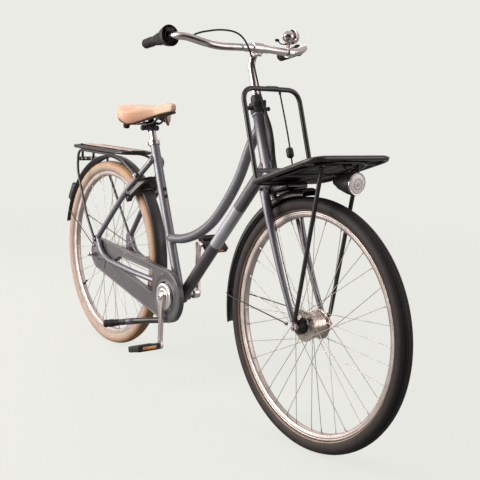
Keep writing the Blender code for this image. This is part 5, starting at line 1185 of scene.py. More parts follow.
# Ring lock
stay_up = (SEAT_TOP - SEAT_WAY * 0.068 - by_axle(0.018, 0.067)).normalized()
lock_normal = Vector((stay_up.z, 0, -stay_up.x))
lock_shift = 0.0235 + (by_axle(0.018, 0.067) + Vector((0.0, 0, 0.014)) - REAR_AXLE).dot(lock_normal)
LOCK_CENTRE = REAR_AXLE + stay_up * 0.335 + lock_normal * (lock_shift + 0.004)
LOCK = Matrix.Translation(LOCK_CENTRE) @ Matrix((
    (0, stay_up.x, lock_normal.x, 0), (-1, stay_up.y, lock_normal.y, 0), (0, stay_up.z, lock_normal.z, 0),
    (0, 0, 0, 1)))


def lock_point(radius, degrees, h=0.0):
    turn = math.radians(degrees)
    return LOCK @ Vector((radius * math.cos(turn), radius * math.sin(turn), h))


def lock_body():
    """The housing: a flat horseshoe whose top is taller, with its corners rounded."""
    steps, rows = 64, []
    section = [(0.0, 0.0118), (0.25, 0.012), (0.8, 0.012), (0.93, 0.0112), (0.985, 0.0092), (1.0, 0.006),
               (1.0, -0.006), (0.985, -0.0092), (0.93, -0.0112), (0.8, -0.012), (0.25, -0.012),
               (0.0, -0.0118)]
    for i in range(steps + 1):
        degrees = -28 + 236 * i / steps
        swell = 1.0 + 0.6 * max(0.0, math.sin(math.radians(degrees))) ** 4
        end = min(i, steps - i)
        drawn_in = 1.0 - 0.45 * (1.0 - min(1.0, end / 3.0)) ** 2
        reach = 0.061 * swell - 0.043
        rows.append([lock_point(0.043 + reach * part, degrees, h * drawn_in) for part, h in section])
    bpy.ops.object.select_all(action="DESELECT")
    bpy.ops.mesh.primitive_grid_add(x_subdivisions=len(section), y_subdivisions=steps, location=(0, 0, 0))
    grid = bpy.context.object
    corners = sorted(grid.data.vertices, key=lambda v: (round(v.co.y, 4), round(v.co.x, 4)))
    for k, vert in enumerate(corners):
        row, column = divmod(k, len(section) + 1)
        vert.co = rows[row][column % len(section)]
    grid.name = "lock_body"
    edit_all(grid)
    bpy.ops.mesh.remove_doubles(threshold=0.00001)
    bpy.ops.mesh.select_all(action="DESELECT")
    bpy.ops.mesh.select_non_manifold()
    bpy.ops.mesh.edge_face_add()
    leave_edit()
    return tidied(grid, 42)


lock_lugs = []
for side in (RIGHT, LEFT):
    lug = [LOCK @ Vector((side * 0.053, 0.0, depth)) for depth in (-0.009, -0.021)]
    lock_lugs.append(pin(f"lock_lug_{side}", *lug, 0.0075, 24))
# The bar runs in a channel that is open at both ends of the horseshoe
channel = tube("lock_channel", [lock_point(0.052, -44 + 268 * i / 60) for i in range(61)], 0.0047, 20)
lock_shell = tidied(carved(lock_body(), channel), 42)
put(joined("lock_case", lock_shell, *lock_lugs), "gloss", "frame", "lock_housing")
# A metal band along the lock's front, coloured dark brown as a painted brown reflection.
band = tube("lock_front_band", [lock_point(0.0515, a, 0.0118) for a in range(24, 157, 4)], 0.0034, 12)
put(band, "brown_reflection_band", "frame")
key_barrel = turned("lock_key_barrel", mm((0, 6), (1.6, 6), (1.8, 7.2), (7.4, 7.6), (8.6, 6.4), (9, -1),
                                          (0, -1)), lock_point(0.056, 128, 0.012), lock_normal, 32)
put(key_barrel, "steel", "frame")
lever_line = [lock_point(0.0555, 6, -0.004), lock_point(0.064, 5, 0.0), lock_point(0.071, 2, 0.002)]
lever = joined(
    "lock_lever",
    tube("lock_lever_stem", lever_line, 0.0035, 14, [1.0, 1.0, 0.9]),
    turned("lock_lever_knob", mm((0, 5), (4, 4.4), (6, 2), (6, -3), (4, -5), (0, -5.4)),
           lock_point(0.072, 2, 0.002), ACROSS, 28),
)
put(lever, "plastic", "lock_ring")
lock_bar = tube("lock_bar_steel", [lock_point(0.052, -24 + 156 * i / 40) for i in range(41)], 0.0038, 16)
put(lock_bar, "steel", "lock_ring", "lock_bar")


# Stand

PIVOT = CRANK_AXIS + Vector((-0.075, 0, -0.105))
stand_top = by_crank(0.087, 0.014).z - 0.01 + 0.0035
bracket = joined(
    "stand_bracket_black",
    block("stand_bracket_plate", (PIVOT.x - 0.012, 0, stand_top - 0.004), (0.05, 0.072, 0.008), soft=0.0016),
    block("stand_web", (PIVOT.x - 0.002, 0, (stand_top + PIVOT.z) / 2 - 0.002),
          (0.03, 0.026, stand_top - PIVOT.z - 0.002), soft=0.002),
    across("stand_barrel", PIVOT, -0.018, 0.018, 0.012, 36),
    *(block("stand_rib", (PIVOT.x - 0.002, y, (stand_top + PIVOT.z) / 2),
            (0.024, 0.004, stand_top - PIVOT.z)) for y in (-0.0165, 0.0165)),
)
put(bracket, "tube_black", "frame", "stand_bracket")
stand_parts, foot_parts, clip_parts = [across("stand_axle", PIVOT, -0.032, 0.032, 0.0059, 20)], [], []
for side in (RIGHT, LEFT):
    bends = [PIVOT + Vector((0.006, side * 0.0298, 0.0015)), PIVOT + Vector((-0.095, side * 0.05, -0.022)),
             PIVOT + Vector((-0.189, side * 0.14, -0.045))]
    line = rounded(bends, 0.05, 10)
    start = (line[0] - line[1]).normalized()
    stand_parts.append(tube("stand_leg", [line[0] + start * 0.006, line[0] + start * 0.004, *line], 0.011, 24,
                            [0.7, 0.9, *([1.0] * len(line))]))
    way = (bends[2] - bends[1]).normalized()
    foot_wall = mm((11, -44), (12.2, -42), (12.4, -34), (11.6, -31), (11.6, -29), (13.4, -26), (14, -10),
                   (13.2, -6), (13.2, -2), (14.2, 2), (14.2, 8), (12.5, 11.8), (0, 12.5))
    foot_parts.append(turned("stand_foot", foot_wall, bends[2], way, 32))
    clip_parts.append(turned("stand_band", mm((11.2, -14), (11.9, -13), (11.9, 13), (11.2, 14)),
                             bends[1] + (bends[2] - bends[1]) * 0.34, way, 32))
put(joined("stand_legs_black", *stand_parts), "tube_black", "stand", "stand_legs")
put(joined("stand_feet", *foot_parts), "rubber", "stand")
put(joined("stand_bands", *clip_parts), "case", "stand")


# Seat post, clamp and saddle
post_top = SEAT_TOP + SEAT_WAY * 0.082
post = turned("seat_post_chromed", mm((0, -150), (12, -150), (12.5, -148), (12.5, 60), (11.8, 64),
                                      (11.2, 70), (11.2, 81.5), (0, 81.5)), SEAT_TOP, SEAT_WAY, 48)
put(post, "chrome", "seat", "seat_post")
SADDLE_BACK = SEAT_TOP + Vector((-0.157, 0, 0))
# The skirt's lower edge, from the back over the low wings to the nose
SADDLE_EDGE = smooth([(t, 0, z) for t, z in (
    (0.0, 0.094), (0.1, 0.086), (0.2, 0.0765), (0.31, 0.068), (0.4, 0.061), (0.5, 0.069), (0.6, 0.083),
    (0.7, 0.0945), (0.8, 0.1005), (0.9, 0.104), (1.0, 0.105))], 10)


def saddle_form(t):
    """Half width, top height and lower edge height of the saddle, t from back to nose."""
    half = 0.0225 + (SADDLE_HALF + 0.004 - 0.0225) * (1 - eased(t, 0.26, 0.76))
    half *= 0.92 + 0.08 * eased(t, 0.0, 0.2)
    top = 0.143 - 0.016 * eased(t, 0.02, 0.44) + 0.0265 * eased(t, 0.4, 1.0)
    k = max(i for i in range(len(SADDLE_EDGE) - 1) if SADDLE_EDGE[i].x <= max(0.0, t))
    here, after = SADDLE_EDGE[k], SADDLE_EDGE[k + 1]
    low = here.z + (after.z - here.z) * min(1.0, (t - here.x) / (after.x - here.x))
    return half, SEAT_TOP.z + top, SEAT_TOP.z + low


def saddle_ball(name, rings, sides, shape):
    """A ball whose poles become the back edge and the nose, shaped vertex by vertex."""
    bpy.ops.object.select_all(action="DESELECT")
    bpy.ops.mesh.primitive_uv_sphere_add(segments=sides, ring_count=rings, radius=1.0, location=(0, 0, 0))
    ball = bpy.context.object
    ball.name = name
    for vert in ball.data.vertices:
        t = 0.5 + 0.5 * vert.co.z
        flat = math.hypot(vert.co.x, vert.co.y)
        side = vert.co.y / flat if flat > 1e-5 else 0.0
        up = vert.co.x / flat if flat > 1e-5 else 0.0
        t, y, z = shape(t, min(1.0, flat) ** 0.55, side, up)
        vert.co = Vector((SADDLE_BACK.x + SADDLE_LENGTH * t, y, z))
    return ball


def saddle_skin(t, swell, side, up):
    """Crowned on top with a shallow dip along its middle; the skirt turns in under its edge."""
    half, top, low = saddle_form(t)
    middle = low + (top - low) * 0.55
    y = half * swell * math.copysign(abs(side) ** 0.7, side)
    if up >= 0:
        dip = 0.0035 * math.exp(-(y / 0.02) ** 2) * eased(t, 0.02, 0.2) * (1 - eased(t, 0.55, 0.9))
        return t, y, middle + (top - middle) * swell * up ** 0.8 - dip * up
    return t, y, middle - (middle - low) * swell * min(1.0, (-up * 1.6) ** 0.6)


cover = saddle_ball("saddle_cover_leather", 72, 88, saddle_skin)
edit_all(cover)
bpy.ops.mesh.normals_make_consistent(inside=False)
bpy.ops.mesh.select_all(action="DESELECT")
leave_edit()
for face in cover.data.polygons:
    t = (face.center.x - SADDLE_BACK.x) / SADDLE_LENGTH
    half, top, low = saddle_form(min(1.0, max(0.0, t)))
    face.select = face.normal.z < -0.74 and abs(face.center.y) < half * 0.93 and 0.02 < t < 0.9
only(cover)
bpy.ops.object.mode_set(mode="EDIT")
bpy.ops.mesh.delete(type="FACE")
leave_edit()
put(tidied(walled(cover, 0.0036, -1.0), 60), "leather", "seat", "saddle_cover")


def edge_line(y_part, lift, start, stop, steps):
    """A line along the saddle's lower edge, from the back round to the nose."""
    line = []
    for i in range(steps + 1):
        t = start + (stop - start) * i / steps
        half, top, low = saddle_form(t)
        flat = (2 * math.sqrt(max(0.0, t * (1 - t)))) ** 0.55
        risen = (top - low) * 0.22 * (1 - flat) * eased(t, 0.6, 1.0)
        line.append(Vector((SADDLE_BACK.x + SADDLE_LENGTH * t, half * flat * y_part, low + lift + risen)))
    return line


trim_right = edge_line(-0.9, 0.005, 0.035, 0.955, 40)
trim_left = [Vector((p.x, -p.y, p.z)) for p in reversed(trim_right)]
trim = tube("saddle_edge_trim", trim_right + trim_left, 0.0034, 12, closed=True)
put(trim, "plastic", "seat")
dressed("saddle_base", "plastic")
clamp_middle = post_top + Vector((-0.001, 0, -0.013))
clamp = joined(
    "saddle_clamp",
    block("clamp_lower", clamp_middle + Vector((0, 0, -0.008)), (0.028, 0.046, 0.018), soft=0.005,
          segments=4),
    block("clamp_upper", clamp_middle + Vector((0, 0, 0.008)), (0.036, 0.05, 0.01), soft=0.004, segments=4),
    across("clamp_bolt", clamp_middle + Vector((-0.004, 0, -0.009)), -0.03, 0.03, 0.0045, 24),
    across("clamp_head_right", clamp_middle + Vector((-0.004, 0, -0.009)), -0.034, -0.023, 0.0098, 28, 0.002),
    across("clamp_head_left", clamp_middle + Vector((-0.004, 0, -0.009)), 0.023, 0.034, 0.0098, 28, 0.002),
    pin("clamp_sleeve", post_top - SEAT_WAY * 0.036, post_top - SEAT_WAY * 0.001, 0.0152, 32),
)
put(clamp, "plastic", "seat", "saddle_rails")
rail_z = clamp_middle.z + 0.004
rails = []
for side in (RIGHT, LEFT):
    back_t, nose_t = 0.1, 0.86
    path = [
        Vector((SADDLE_BACK.x + SADDLE_LENGTH * back_t, side * 0.048, SEAT_TOP.z + 0.096)),
        Vector((SADDLE_BACK.x + SADDLE_LENGTH * 0.15, side * 0.046, rail_z - 0.004)),
        Vector((clamp_middle.x - 0.03, side * 0.0225, rail_z)),
        Vector((clamp_middle.x + 0.045, side * 0.0165, rail_z + 0.004)),
        Vector((SADDLE_BACK.x + SADDLE_LENGTH * nose_t, side * 0.005, SEAT_TOP.z + 0.126)),
    ]
    rails.append(tube("saddle_rail", rounded(path, 0.022, 8), 0.0038, 16))
put(joined("saddle_rails_steel", *rails), "tube_black", "seat")
for side, word in SIDES:
    top_spot = SADDLE_BACK + Vector((0.046, side * 0.05, 0.1))
    bumper_wall = mm((0, -1), (11.2, 0), (11.6, 12), (9.4, 14), (9.4, 17), (11.6, 19), (12, 30), (10, 33),
                     (10, 36), (12, 38), (12.2, 45), (9.5, 51), (0, 54))
    bumper = turned(f"saddle_bumper_{word}", bumper_wall, top_spot, Vector((-0.004, 0, -0.038)), 28)
    put(bumper, "rubber", "seat")


# Fork, headset, stem and handlebar

def fork_leg(side):
    path = smooth([
        steer(0.002, -side * 0.01, -0.022), steer(0.014, side * 0.026, -0.024),
        steer(0.03, side * 0.049, -0.044), steer(0.038, side * LEG_Y, -0.09),
        steer(0.042, side * LEG_Y, -0.1735), steer(0.054, side * LEG_Y, -0.3),
        steer(0.073, side * LEG_Y, -0.42)], 7)
    count = len(path) - 1
    return tube("fork_leg", path, 0.0135, 28,
                [1.0 - 0.42 * eased(i / count, 0.35, 1.0) for i in range(count + 1)])


def fork_end(side):
    foot = steer(0.071, 0, -0.409)
    outline = [
        (FRONT_AXLE.x - 0.004, FRONT_AXLE.z - 0.011), (FRONT_AXLE.x + 0.009, FRONT_AXLE.z - 0.008),
        (FRONT_AXLE.x + 0.012, FRONT_AXLE.z + 0.004), (foot.x + 0.007, foot.z),
        (foot.x - 0.007, foot.z - 0.004), (FRONT_AXLE.x - 0.011, FRONT_AXLE.z - 0.002)]
    loop = rounded([Vector((x, side * (LEG_Y - 0.0025), z)) for x, z in outline], 0.005, 4, closed=True)
    return slab("fork_end", [loop], (0, side * 0.005, 0), 0.0008)


fork = joined(
    "fork_painted",
    pin("steerer", steer(0, 0, -0.03), steer(0, 0, 0.205), 0.0127, 32),
    turned("crown", mm((0, -37), (15, -36.5), (17.6, -34), (18, -6), (20, -5.2), (20.5, -4), (20.5, -0.8),
                       (19.6, -0.3), (0, -0.3)), STEER_FOOT, HEAD_WAY, 48),
    fork_leg(RIGHT), fork_leg(LEFT), fork_end(RIGHT), fork_end(LEFT),
)
put(fork, "paint", "steering", "fork")
lug_way = steer(0.004, 0, -0.03) - FRONT_AXLE
lug_way.y = 0
lug_way.normalize()
put(pin("guard_bolt", FRONT_AXLE + lug_way * 0.3795, FRONT_AXLE + lug_way * 0.4, 0.0085, 24), "plastic",
    "steering")

RING = HEAD_LENGTH + 0.0003
headset = joined(
    "headset_black",
    turned("headset_body", [
        (0.0113, RING + 0.054), (0.013, RING + 0.054), (0.015, RING + 0.0525), (0.0168, RING + 0.049),
        (0.0178, RING + 0.044), (0.0186, RING + 0.035), (0.0192, RING + 0.0325), (0.024, RING + 0.031),
        (0.0255, RING + 0.0296), (0.0255, RING + 0.025), (0.0249, RING + 0.0244), (0.0249, RING + 0.0236),
        (0.0255, RING + 0.023), (0.0255, RING + 0.0186), (0.0246, RING + 0.0172), (0.0235, RING + 0.0165),
        (0.0235, RING + 0.0008), (0.0228, RING), (0.0136, RING)], STEER_FOOT, HEAD_WAY, 48),
    pin("ring_screw", steer(0.02, 0, RING + 0.024), steer(0.034, 0, RING + 0.024), 0.004, 20),
    pin("ring_screw_head", steer(0.03, 0, RING + 0.024), steer(0.037, 0, RING + 0.024), 0.0056, 24),
    pin("ring_lugs", steer(0, -0.04, RING + 0.0135), steer(0, 0.04, RING + 0.0135), 0.0052, 24, 0.0018),
    pin("lug_end_right", steer(0, -0.042, RING + 0.0135), steer(0, -0.0345, RING + 0.0135), 0.0066, 24,
        0.0018),
    pin("lug_end_left", steer(0, 0.0345, RING + 0.0135), steer(0, 0.042, RING + 0.0135), 0.0066, 24, 0.0018),
)
put(headset, "plastic", "steering", "headset_ring")

BAR_X, BAR_Z = 0.038, 0.38
bar_middle = steer(BAR_X, 0, BAR_Z)
stem_path = rounded([steer(0, 0, RING + 0.0108), steer(0, 0, BAR_Z - 0.03), steer(BAR_X, 0, BAR_Z - 0.001)],
                    0.03, 10)
stem_clamp = turned("stem_clamp", mm((11.2, 19), (15, 19), (16.2, 18.2), (16.5, 17), (16.5, -17),
                                     (16.2, -18.2), (15, -19), (11.2, -19)), bar_middle, ACROSS, 48)
clamp_slot = block("clamp_slot", bar_middle + Vector((0.004, 0, -0.016)), (0.0022, 0.05, 0.016), soft=0.0002,
                   segments=1)
stem_clamp = carved(stem_clamp, clamp_slot)
stem = joined(
    "stem_chromed",
    tube("stem_quill", stem_path, 0.011, 32),
    stem_clamp,
    turned("stem_ring", mm((11, 0), (12.2, 0.4), (12.4, 3), (11, 4)), steer(0, 0, RING + 0.056), HEAD_WAY,
           40),
    across("clamp_bolt", bar_middle + Vector((0.006, 0, -0.019)), -0.012, 0.012, 0.0048, 6),
    across("clamp_bolt_head", bar_middle + Vector((0.006, 0, -0.019)), -0.015, -0.008, 0.0062, 24),
)
put(stem, "chrome", "steering", "stem")

BAR_OFFSETS = [(0, 0, 0), (-0.002, 0.06, -0.001), (-0.01, 0.13, -0.004), (-0.016, 0.18, 0.004),
               (-0.046, 0.226, 0.02), (-0.098, 0.2485, 0.016), (-0.2, 0.256, -0.0015)]
bar_points = [bar_middle + Vector(offset) for offset in BAR_OFFSETS]
half_bar = rounded(bar_points[:-1], 0.034, 8) + bar_points[-1:]
bar_line = [mirrored(p, RIGHT) for p in reversed(half_bar)] + half_bar[1:]
put(tube("handlebar_chromed", bar_line, 0.011, 32), "chrome", "steering", "handlebar")
for side, word in SIDES:
    sleeve = turned(f"bar_sleeve_{word}", mm((11, 0), (12.6, 0.8), (12.6, 20), (11, 22)),
                    bar_middle + Vector((-0.0004, side * 0.02, 0)),
                    mirrored(bar_points[1] - bar_middle, side), 40)
    put(sleeve, "chrome", "steering")

grip_way = (bar_points[-1] - bar_points[-2]).normalized()
bar_end = bar_points[-1]


def grip(side, word, length, radius):
    """A rubber grip with rings near its flange, a shaped palm and a closed end."""
    profile = [(radius * share, along) for share, along in (
        (0.0, 0.0), (0.6, 0.0), (0.86, 0.0012), (1.0, 0.005), (1.02, 0.009), (0.93, 0.0105), (0.93, 0.012),
        (1.0, 0.0135))]
    rings = int((length - 0.034) / 0.0052)
    for i in range(rings):
        start = 0.016 + i * 0.0052
        fat = radius * (1.0 + 0.035 * math.sin(math.pi * i / rings))
        profile += [(fat, start), (fat, start + 0.003), (fat * 0.965, start + 0.0036),
                    (fat * 0.965, start + 0.0046)]
    profile += [(radius * 0.95, length - 0.012), (radius * 0.95, length - 0.004),
                (radius * 1.12, length - 0.001), (radius * 1.14, length + 0.003),
                (radius * 1.06, length + 0.0058), (0.0112, length + 0.006)]
    way = mirrored(-grip_way, side)
    piece = turned(f"grip_{word}_rubber", profile, mirrored(bar_end + grip_way * 0.006, side), way, 40)
    return put(piece, "rubber", "steering", f"grip_{word}")


grip(LEFT, "left", 0.098, 0.0165)
grip(RIGHT, "right", 0.062, 0.014)

# Twist shifter on the right
shift_way = mirrored(-grip_way, RIGHT)
twist_base = mirrored(bar_end - grip_way * 0.0623, RIGHT)
twist_wall = mm((12, 0), (15.6, 0), (16.8, 1.4), (17.4, 6), (17.8, 14), (18.4, 22), (20, 29), (24, 34.5),
                (25.8, 37.2), (12, 37.4))
twist = turned("shifter_twist_grip", twist_wall, twist_base, shift_way, 80)
for vert in twist.data.vertices:
    gap = vert.co - twist_base
    along = gap.dot(shift_way)
    out = gap - shift_way * along
    if 0.004 < along < 0.0365 and out.length > 0.017:
        turn = math.atan2(out.normalized().z, out.normalized().y)
        vert.co = twist_base + shift_way * along + out * (1.0 + 0.03 * math.copysign(1, math.sin(turn * 20)))
put(tidied(twist), "rubber", "shifter", "shifter_twist")
house_base = mirrored(bar_end - grip_way * 0.1003, RIGHT)
house_middle = house_base + shift_way * 0.012 + Vector((0, 0, 0.016))
house_parts = [
    turned("shifter_house", mm((11.4, 0), (25, 0), (26.2, 1.2), (28, 7), (29.6, 14), (30.6, 20),
                               (30.2, 21.6), (28.8, 21), (25.6, 15), (20, 9.6), (15, 9), (14.2, 15),
                               (11.4, 16)), house_base, shift_way, 56),
    block("shifter_window", house_middle, (0.018, 0.03, 0.014), soft=0.004, segments=5),
]
put(joined("shifter_house_black", *house_parts), "plastic", "steering", "shifter_housing")

# Bell
bell_y = 0.1315
bell_foot = bar_middle + Vector((-0.01, 0, -0.004))
bell_centre = bell_foot + Vector((0.003, bell_y, 0.047))
bell_mount = joined(
    "bell_mount",
    turned("bell_clamp", mm((11.2, 9.5), (15, 9.5), (16, 8.6), (16, -8.6), (15, -9.5), (11.2, -9.5)),
           bell_foot + Vector((0, bell_y, 0)), ACROSS, 40),
    block("bell_post",
          ((bell_foot.x + bell_centre.x) / 2, bell_y, (bell_foot.z + bell_centre.z) / 2 + 0.004),
          (0.01, 0.006, 0.038), soft=0.0015),
    across("bell_core", bell_centre, bell_y - 0.0045, bell_y + 0.0045, 0.013, 36),
    across("bell_stud", bell_centre, bell_y - 0.027, bell_y + 0.027, 0.003, 20),
    across("bell_stud_nut_right", bell_centre, bell_y - 0.0306, bell_y - 0.0268, 0.0046, 28, 0.0016),
    across("bell_stud_nut_left", bell_centre, bell_y + 0.0268, bell_y + 0.0306, 0.0046, 28, 0.0016),
    block("bell_shelf", bell_foot + Vector((-0.002, bell_y - 0.008, 0.0186)), (0.008, 0.016, 0.004),
          soft=0.0008),
)
put(bell_mount, "chrome", "steering", "bell_body")


def bell_cup(side, word, radius):
    """A dome open toward the bell's middle, with a rolled lip."""
    dome = [(share * radius, height) for share, height in (
        (0.2, 0.0222), (0.42, 0.0205), (0.62, 0.0176), (0.78, 0.014), (0.9, 0.0096), (0.965, 0.0054),
        (0.985, 0.0022), (1.0, 0.001), (1.0, -0.0004), (0.965, -0.0006), (0.93, 0.0042), (0.74, 0.012),
        (0.4, 0.0188))]
    profile = [(0.003, 0.0226), *dome, (0.003, 0.0209)]
    cup = turned(f"bell_cup_{word}_chromed", profile, bell_centre + Vector((0, side * 0.0058, 0)),
                 ACROSS * side, 56)
    put(cup, "chrome", "steering", f"bell_cup_{word}")


bell_cup(RIGHT, "right", 0.019)
bell_cup(LEFT, "left", 0.0225)
strike_point = bell_foot + Vector((-0.002, bell_y - 0.0125, 0.0245))
tip = strike_point + Vector((-0.012, -0.024, 0.01))
striker = joined(
    "bell_striker_black",
    pin("striker_pin", strike_point + Vector((0, 0, -0.0035)), strike_point + Vector((0, 0, 0.0035)), 0.0032,
        20),
    tube("striker_arm", smooth([strike_point, strike_point + Vector((-0.006, -0.014, 0.0)), tip], 6), 0.0017,
         12),
    turned("striker_thumb", mm((0, 8), (2.8, 7.4), (4.4, 5), (4.6, 0), (3.8, -4.5), (1.8, -6.2), (0, -6.4)),
           tip, Vector((-0.003, -0.014, 0.001)), 28),
)
put(striker, "plastic", "striker", "bell_striker")
coil = []
coil_start = bell_foot + Vector((0.0045, bell_y - 0.0115, 0.0255))
for i in range(73):
    turn = 2 * math.pi * i / 12
    coil.append(coil_start + Vector((0.0034 * math.cos(turn), 0.0016 * i / 12, 0.0034 * math.sin(turn))))
put(tube("bell_spring", coil, 0.0008, 8), "steel", "steering")
copper_bit = block("bell_copper_bit", bell_foot + Vector((0.003, bell_y - 0.013, 0.0205)),
                   (0.009, 0.005, 0.005), soft=0.0012)
put(copper_bit, "brass", "steering")


# Front axle, dynamo cap and its wires

front_axle = joined(
    "front_axle_steel",
    across("front_axle_rod", FRONT_AXLE, -0.0735, 0.0735, 0.0048, 20),
    hex_nut("front_nut_right", FRONT_AXLE, -0.0614, -0.0705, 0.009),
    hex_nut("front_nut_left", FRONT_AXLE, 0.0614, 0.0705, 0.009),
    across("front_spacer", FRONT_AXLE, 0.0352, 0.0527, 0.009, 28),
)
put(front_axle, "steel", "steering", "front_axle")
connector = joined(
    "dynamo_connector",
    turned("connector_cap", mm((6, 0), (18.5, 0), (20.5, 1.6), (20.5, 15), (19, 17), (6, 17.4)),
           FRONT_AXLE + Vector((0, -0.0353, 0)), -ACROSS, 48),
    block("connector_plug", FRONT_AXLE + Vector((0.01, -0.044, 0.022)), (0.014, 0.012, 0.012), soft=0.0022,
          segments=4),
)
put(connector, "plastic", "steering")
wire_up = smooth([FRONT_AXLE + Vector((0.01, -0.044, 0.027)), FRONT_AXLE + Vector((0.004, -0.0475, 0.04)),
                  steer(0.0735, -0.0425, -0.375), steer(0.06, -0.042, -0.3), steer(0.048, -0.042, -0.1735),
                  steer(0.044, -0.042, -0.1), steer(0.037, -0.036, -0.058), steer(0.05, -0.03, -0.04)], 6)
put(tube("dynamo_wire", wire_up, 0.0013, 8), "rubber", "steering")
put(joined("axle_washers",
           across("axle_copper_right", FRONT_AXLE, -0.0608, -0.0618, 0.0112, 28),
           across("axle_copper_left", FRONT_AXLE, 0.0608, 0.0618, 0.0112, 28)), "brass", "steering")


# Front carrier

PLANE = -0.032
CARRIER_BACK, CARRIER_FRONT, carrier_y = 0.08, 0.356, 0.138
carrier_loop = [steer(x, y, PLANE) for x, y in (
    (CARRIER_BACK, carrier_y), (CARRIER_FRONT, carrier_y), (CARRIER_FRONT, -carrier_y),
    (CARRIER_BACK, -carrier_y))]
carrier_loop = rounded(carrier_loop, 0.045, 12, closed=True)
deck_parts = [tube("deck_loop", carrier_loop, 0.007, 28, closed=True)]
for x in (0.299, 0.17):
    deck_parts.append(tube("deck_beam", [steer(x, -0.131, PLANE - 0.002), steer(x, 0.131, PLANE - 0.002)],
                           0.0048, 16))
inner_bow = rounded([steer(0.15, -0.112, PLANE - 0.0052), steer(0.33, -0.1, PLANE - 0.0056),
                     steer(0.33, 0.1, PLANE - 0.0056), steer(0.15, 0.112, PLANE - 0.0052)], 0.075, 12)
deck_parts.append(tube("deck_bow", inner_bow, 0.0042, 16))
deck_parts.append(block("deck_tongue", steer(0.0562, 0, PLANE + 0.001), (0.0545, 0.05, 0.005), STEER_TURN,
                        0.0012))
TILT_POINT = LAMP + Vector((-0.036, 0, 0.039))
ear_top = steer((TILT_POINT.x - STEER_FOOT.x) * math.cos(STEER_ANGLE) + 0.016, 0, PLANE)
for side in (RIGHT, LEFT):
    low = TILT_POINT + Vector((0, side * 0.0085, 0))
    high = Vector((ear_top.x, side * 0.0085, ear_top.z))
    way = high - low
    turn = way.to_track_quat("Z", "Y").to_matrix().to_4x4()
    deck_parts.append(block("lamp_ear", (low + high) / 2, (0.0035, 0.016, way.length + 0.014), turn, 0.001))
deck_parts.append(across("lamp_pin", TILT_POINT, -0.011, 0.011, 0.003, 16))
put(joined("front_carrier_frame", *deck_parts), "tube_black", "steering", "front_carrier")
slats = []
for y in (-0.1036, -0.0518, 0.0, 0.0518, 0.1036):
    slats.append(block("deck_slat", steer((CARRIER_BACK + CARRIER_FRONT) / 2, y, PLANE + 0.0015),
                       (CARRIER_FRONT - CARRIER_BACK - 0.002, 0.0512, 0.0042), STEER_TURN, 0.0014, 3))
put(joined("front_deck_slats", *slats), "deck", "steering")
# The carrier stands on a block between the fork's crown and the mudguard, and a clamp on each leg
mounts = [block("carrier_mount", steer(0.068, 0, PLANE - 0.0152), (0.1, 0.08, 0.0175), STEER_TURN, 0.005, 4)]
for side in (RIGHT, LEFT):
    mounts.append(pin("leg_clamp", steer(0.016, side * 0.03, -0.0265), steer(0.0325, side * 0.0515, -0.05),
                      0.0152, 28, 0.002))
    mounts.append(across("clamp_nut", steer(0.033, side * 0.06, -0.039), side * 0.056, side * 0.068, 0.0052,
                         6))
put(joined("front_carrier_mounts", *mounts), "gloss", "steering")

HOOP_HALF, HOOP_TOP, hoop_x = 0.103, 0.251, 0.07
hoop_line = rounded([steer(hoop_x, -HOOP_HALF, PLANE - 0.004), steer(hoop_x, -HOOP_HALF, HOOP_TOP - 0.0058),
                     steer(hoop_x, HOOP_HALF, HOOP_TOP - 0.0058), steer(hoop_x, HOOP_HALF, PLANE - 0.004)],
                    0.042, 14)
hoop = joined(
    "carrier_hoop_black",
    tube("hoop_tube", hoop_line, 0.0072, 24),
    tube("hoop_pad",
         smooth([steer(hoop_x, -0.014, HOOP_TOP - 0.0052), steer(hoop_x, -0.006, HOOP_TOP - 0.0046),
                 steer(hoop_x, 0.018, HOOP_TOP - 0.0044), steer(hoop_x, 0.026, HOOP_TOP - 0.0052)], 5),
         0.008, 20),
    block("hoop_bar", steer(hoop_x, 0, 0.006), (0.006, 2 * HOOP_HALF, 0.012), STEER_TURN, 0.0012),
)
put(hoop, "tube_black", "steering", "carrier_hoop")


def strut(side, word):
    """A tube from the carrier's front beam down to the axle, pressed flat round the axle."""
    eye_y, tube_y = LEG_Y + 0.0043, LEG_Y + 0.0093
    low = FRONT_AXLE + Vector((0.0005, side * tube_y, 0.02))
    high = steer(0.299, side * 0.065, PLANE - 0.0065)
    way = (high - low).normalized()
    line = [low - way * 0.002, low + way * 0.006, low + way * 0.018, high]
    parts = [
        tube(f"strut_tube_{word}", line, 0.006, 24, [0.62, 0.86, 1.0, 1.0]),
        across(f"strut_eye_{word}", FRONT_AXLE, side * (eye_y - 0.0015), side * (eye_y + 0.0015), 0.0105, 32,
               0.0004),
        block(f"strut_flat_{word}", FRONT_AXLE + Vector((0, side * eye_y, 0.016)), (0.011, 0.003, 0.024),
              soft=0.001),
        across(f"strut_top_{word}", high, high.y - 0.006, high.y + 0.006, 0.0072, 24),
    ]
    put(joined(f"front_strut_{word}_black", *parts), "tube_black", "steering", f"front_strut_{word}")


strut(RIGHT, "right")
strut(LEFT, "left")


# Headlight

lamp_way = Vector((1, 0, 0))
LAMP_SHARE = 0.89


def slimmer(profile):
    """The lamp in the photo is a little slimmer than the engineering model's."""
    return [(LAMP_SHARE * radius, along) for radius, along in profile]


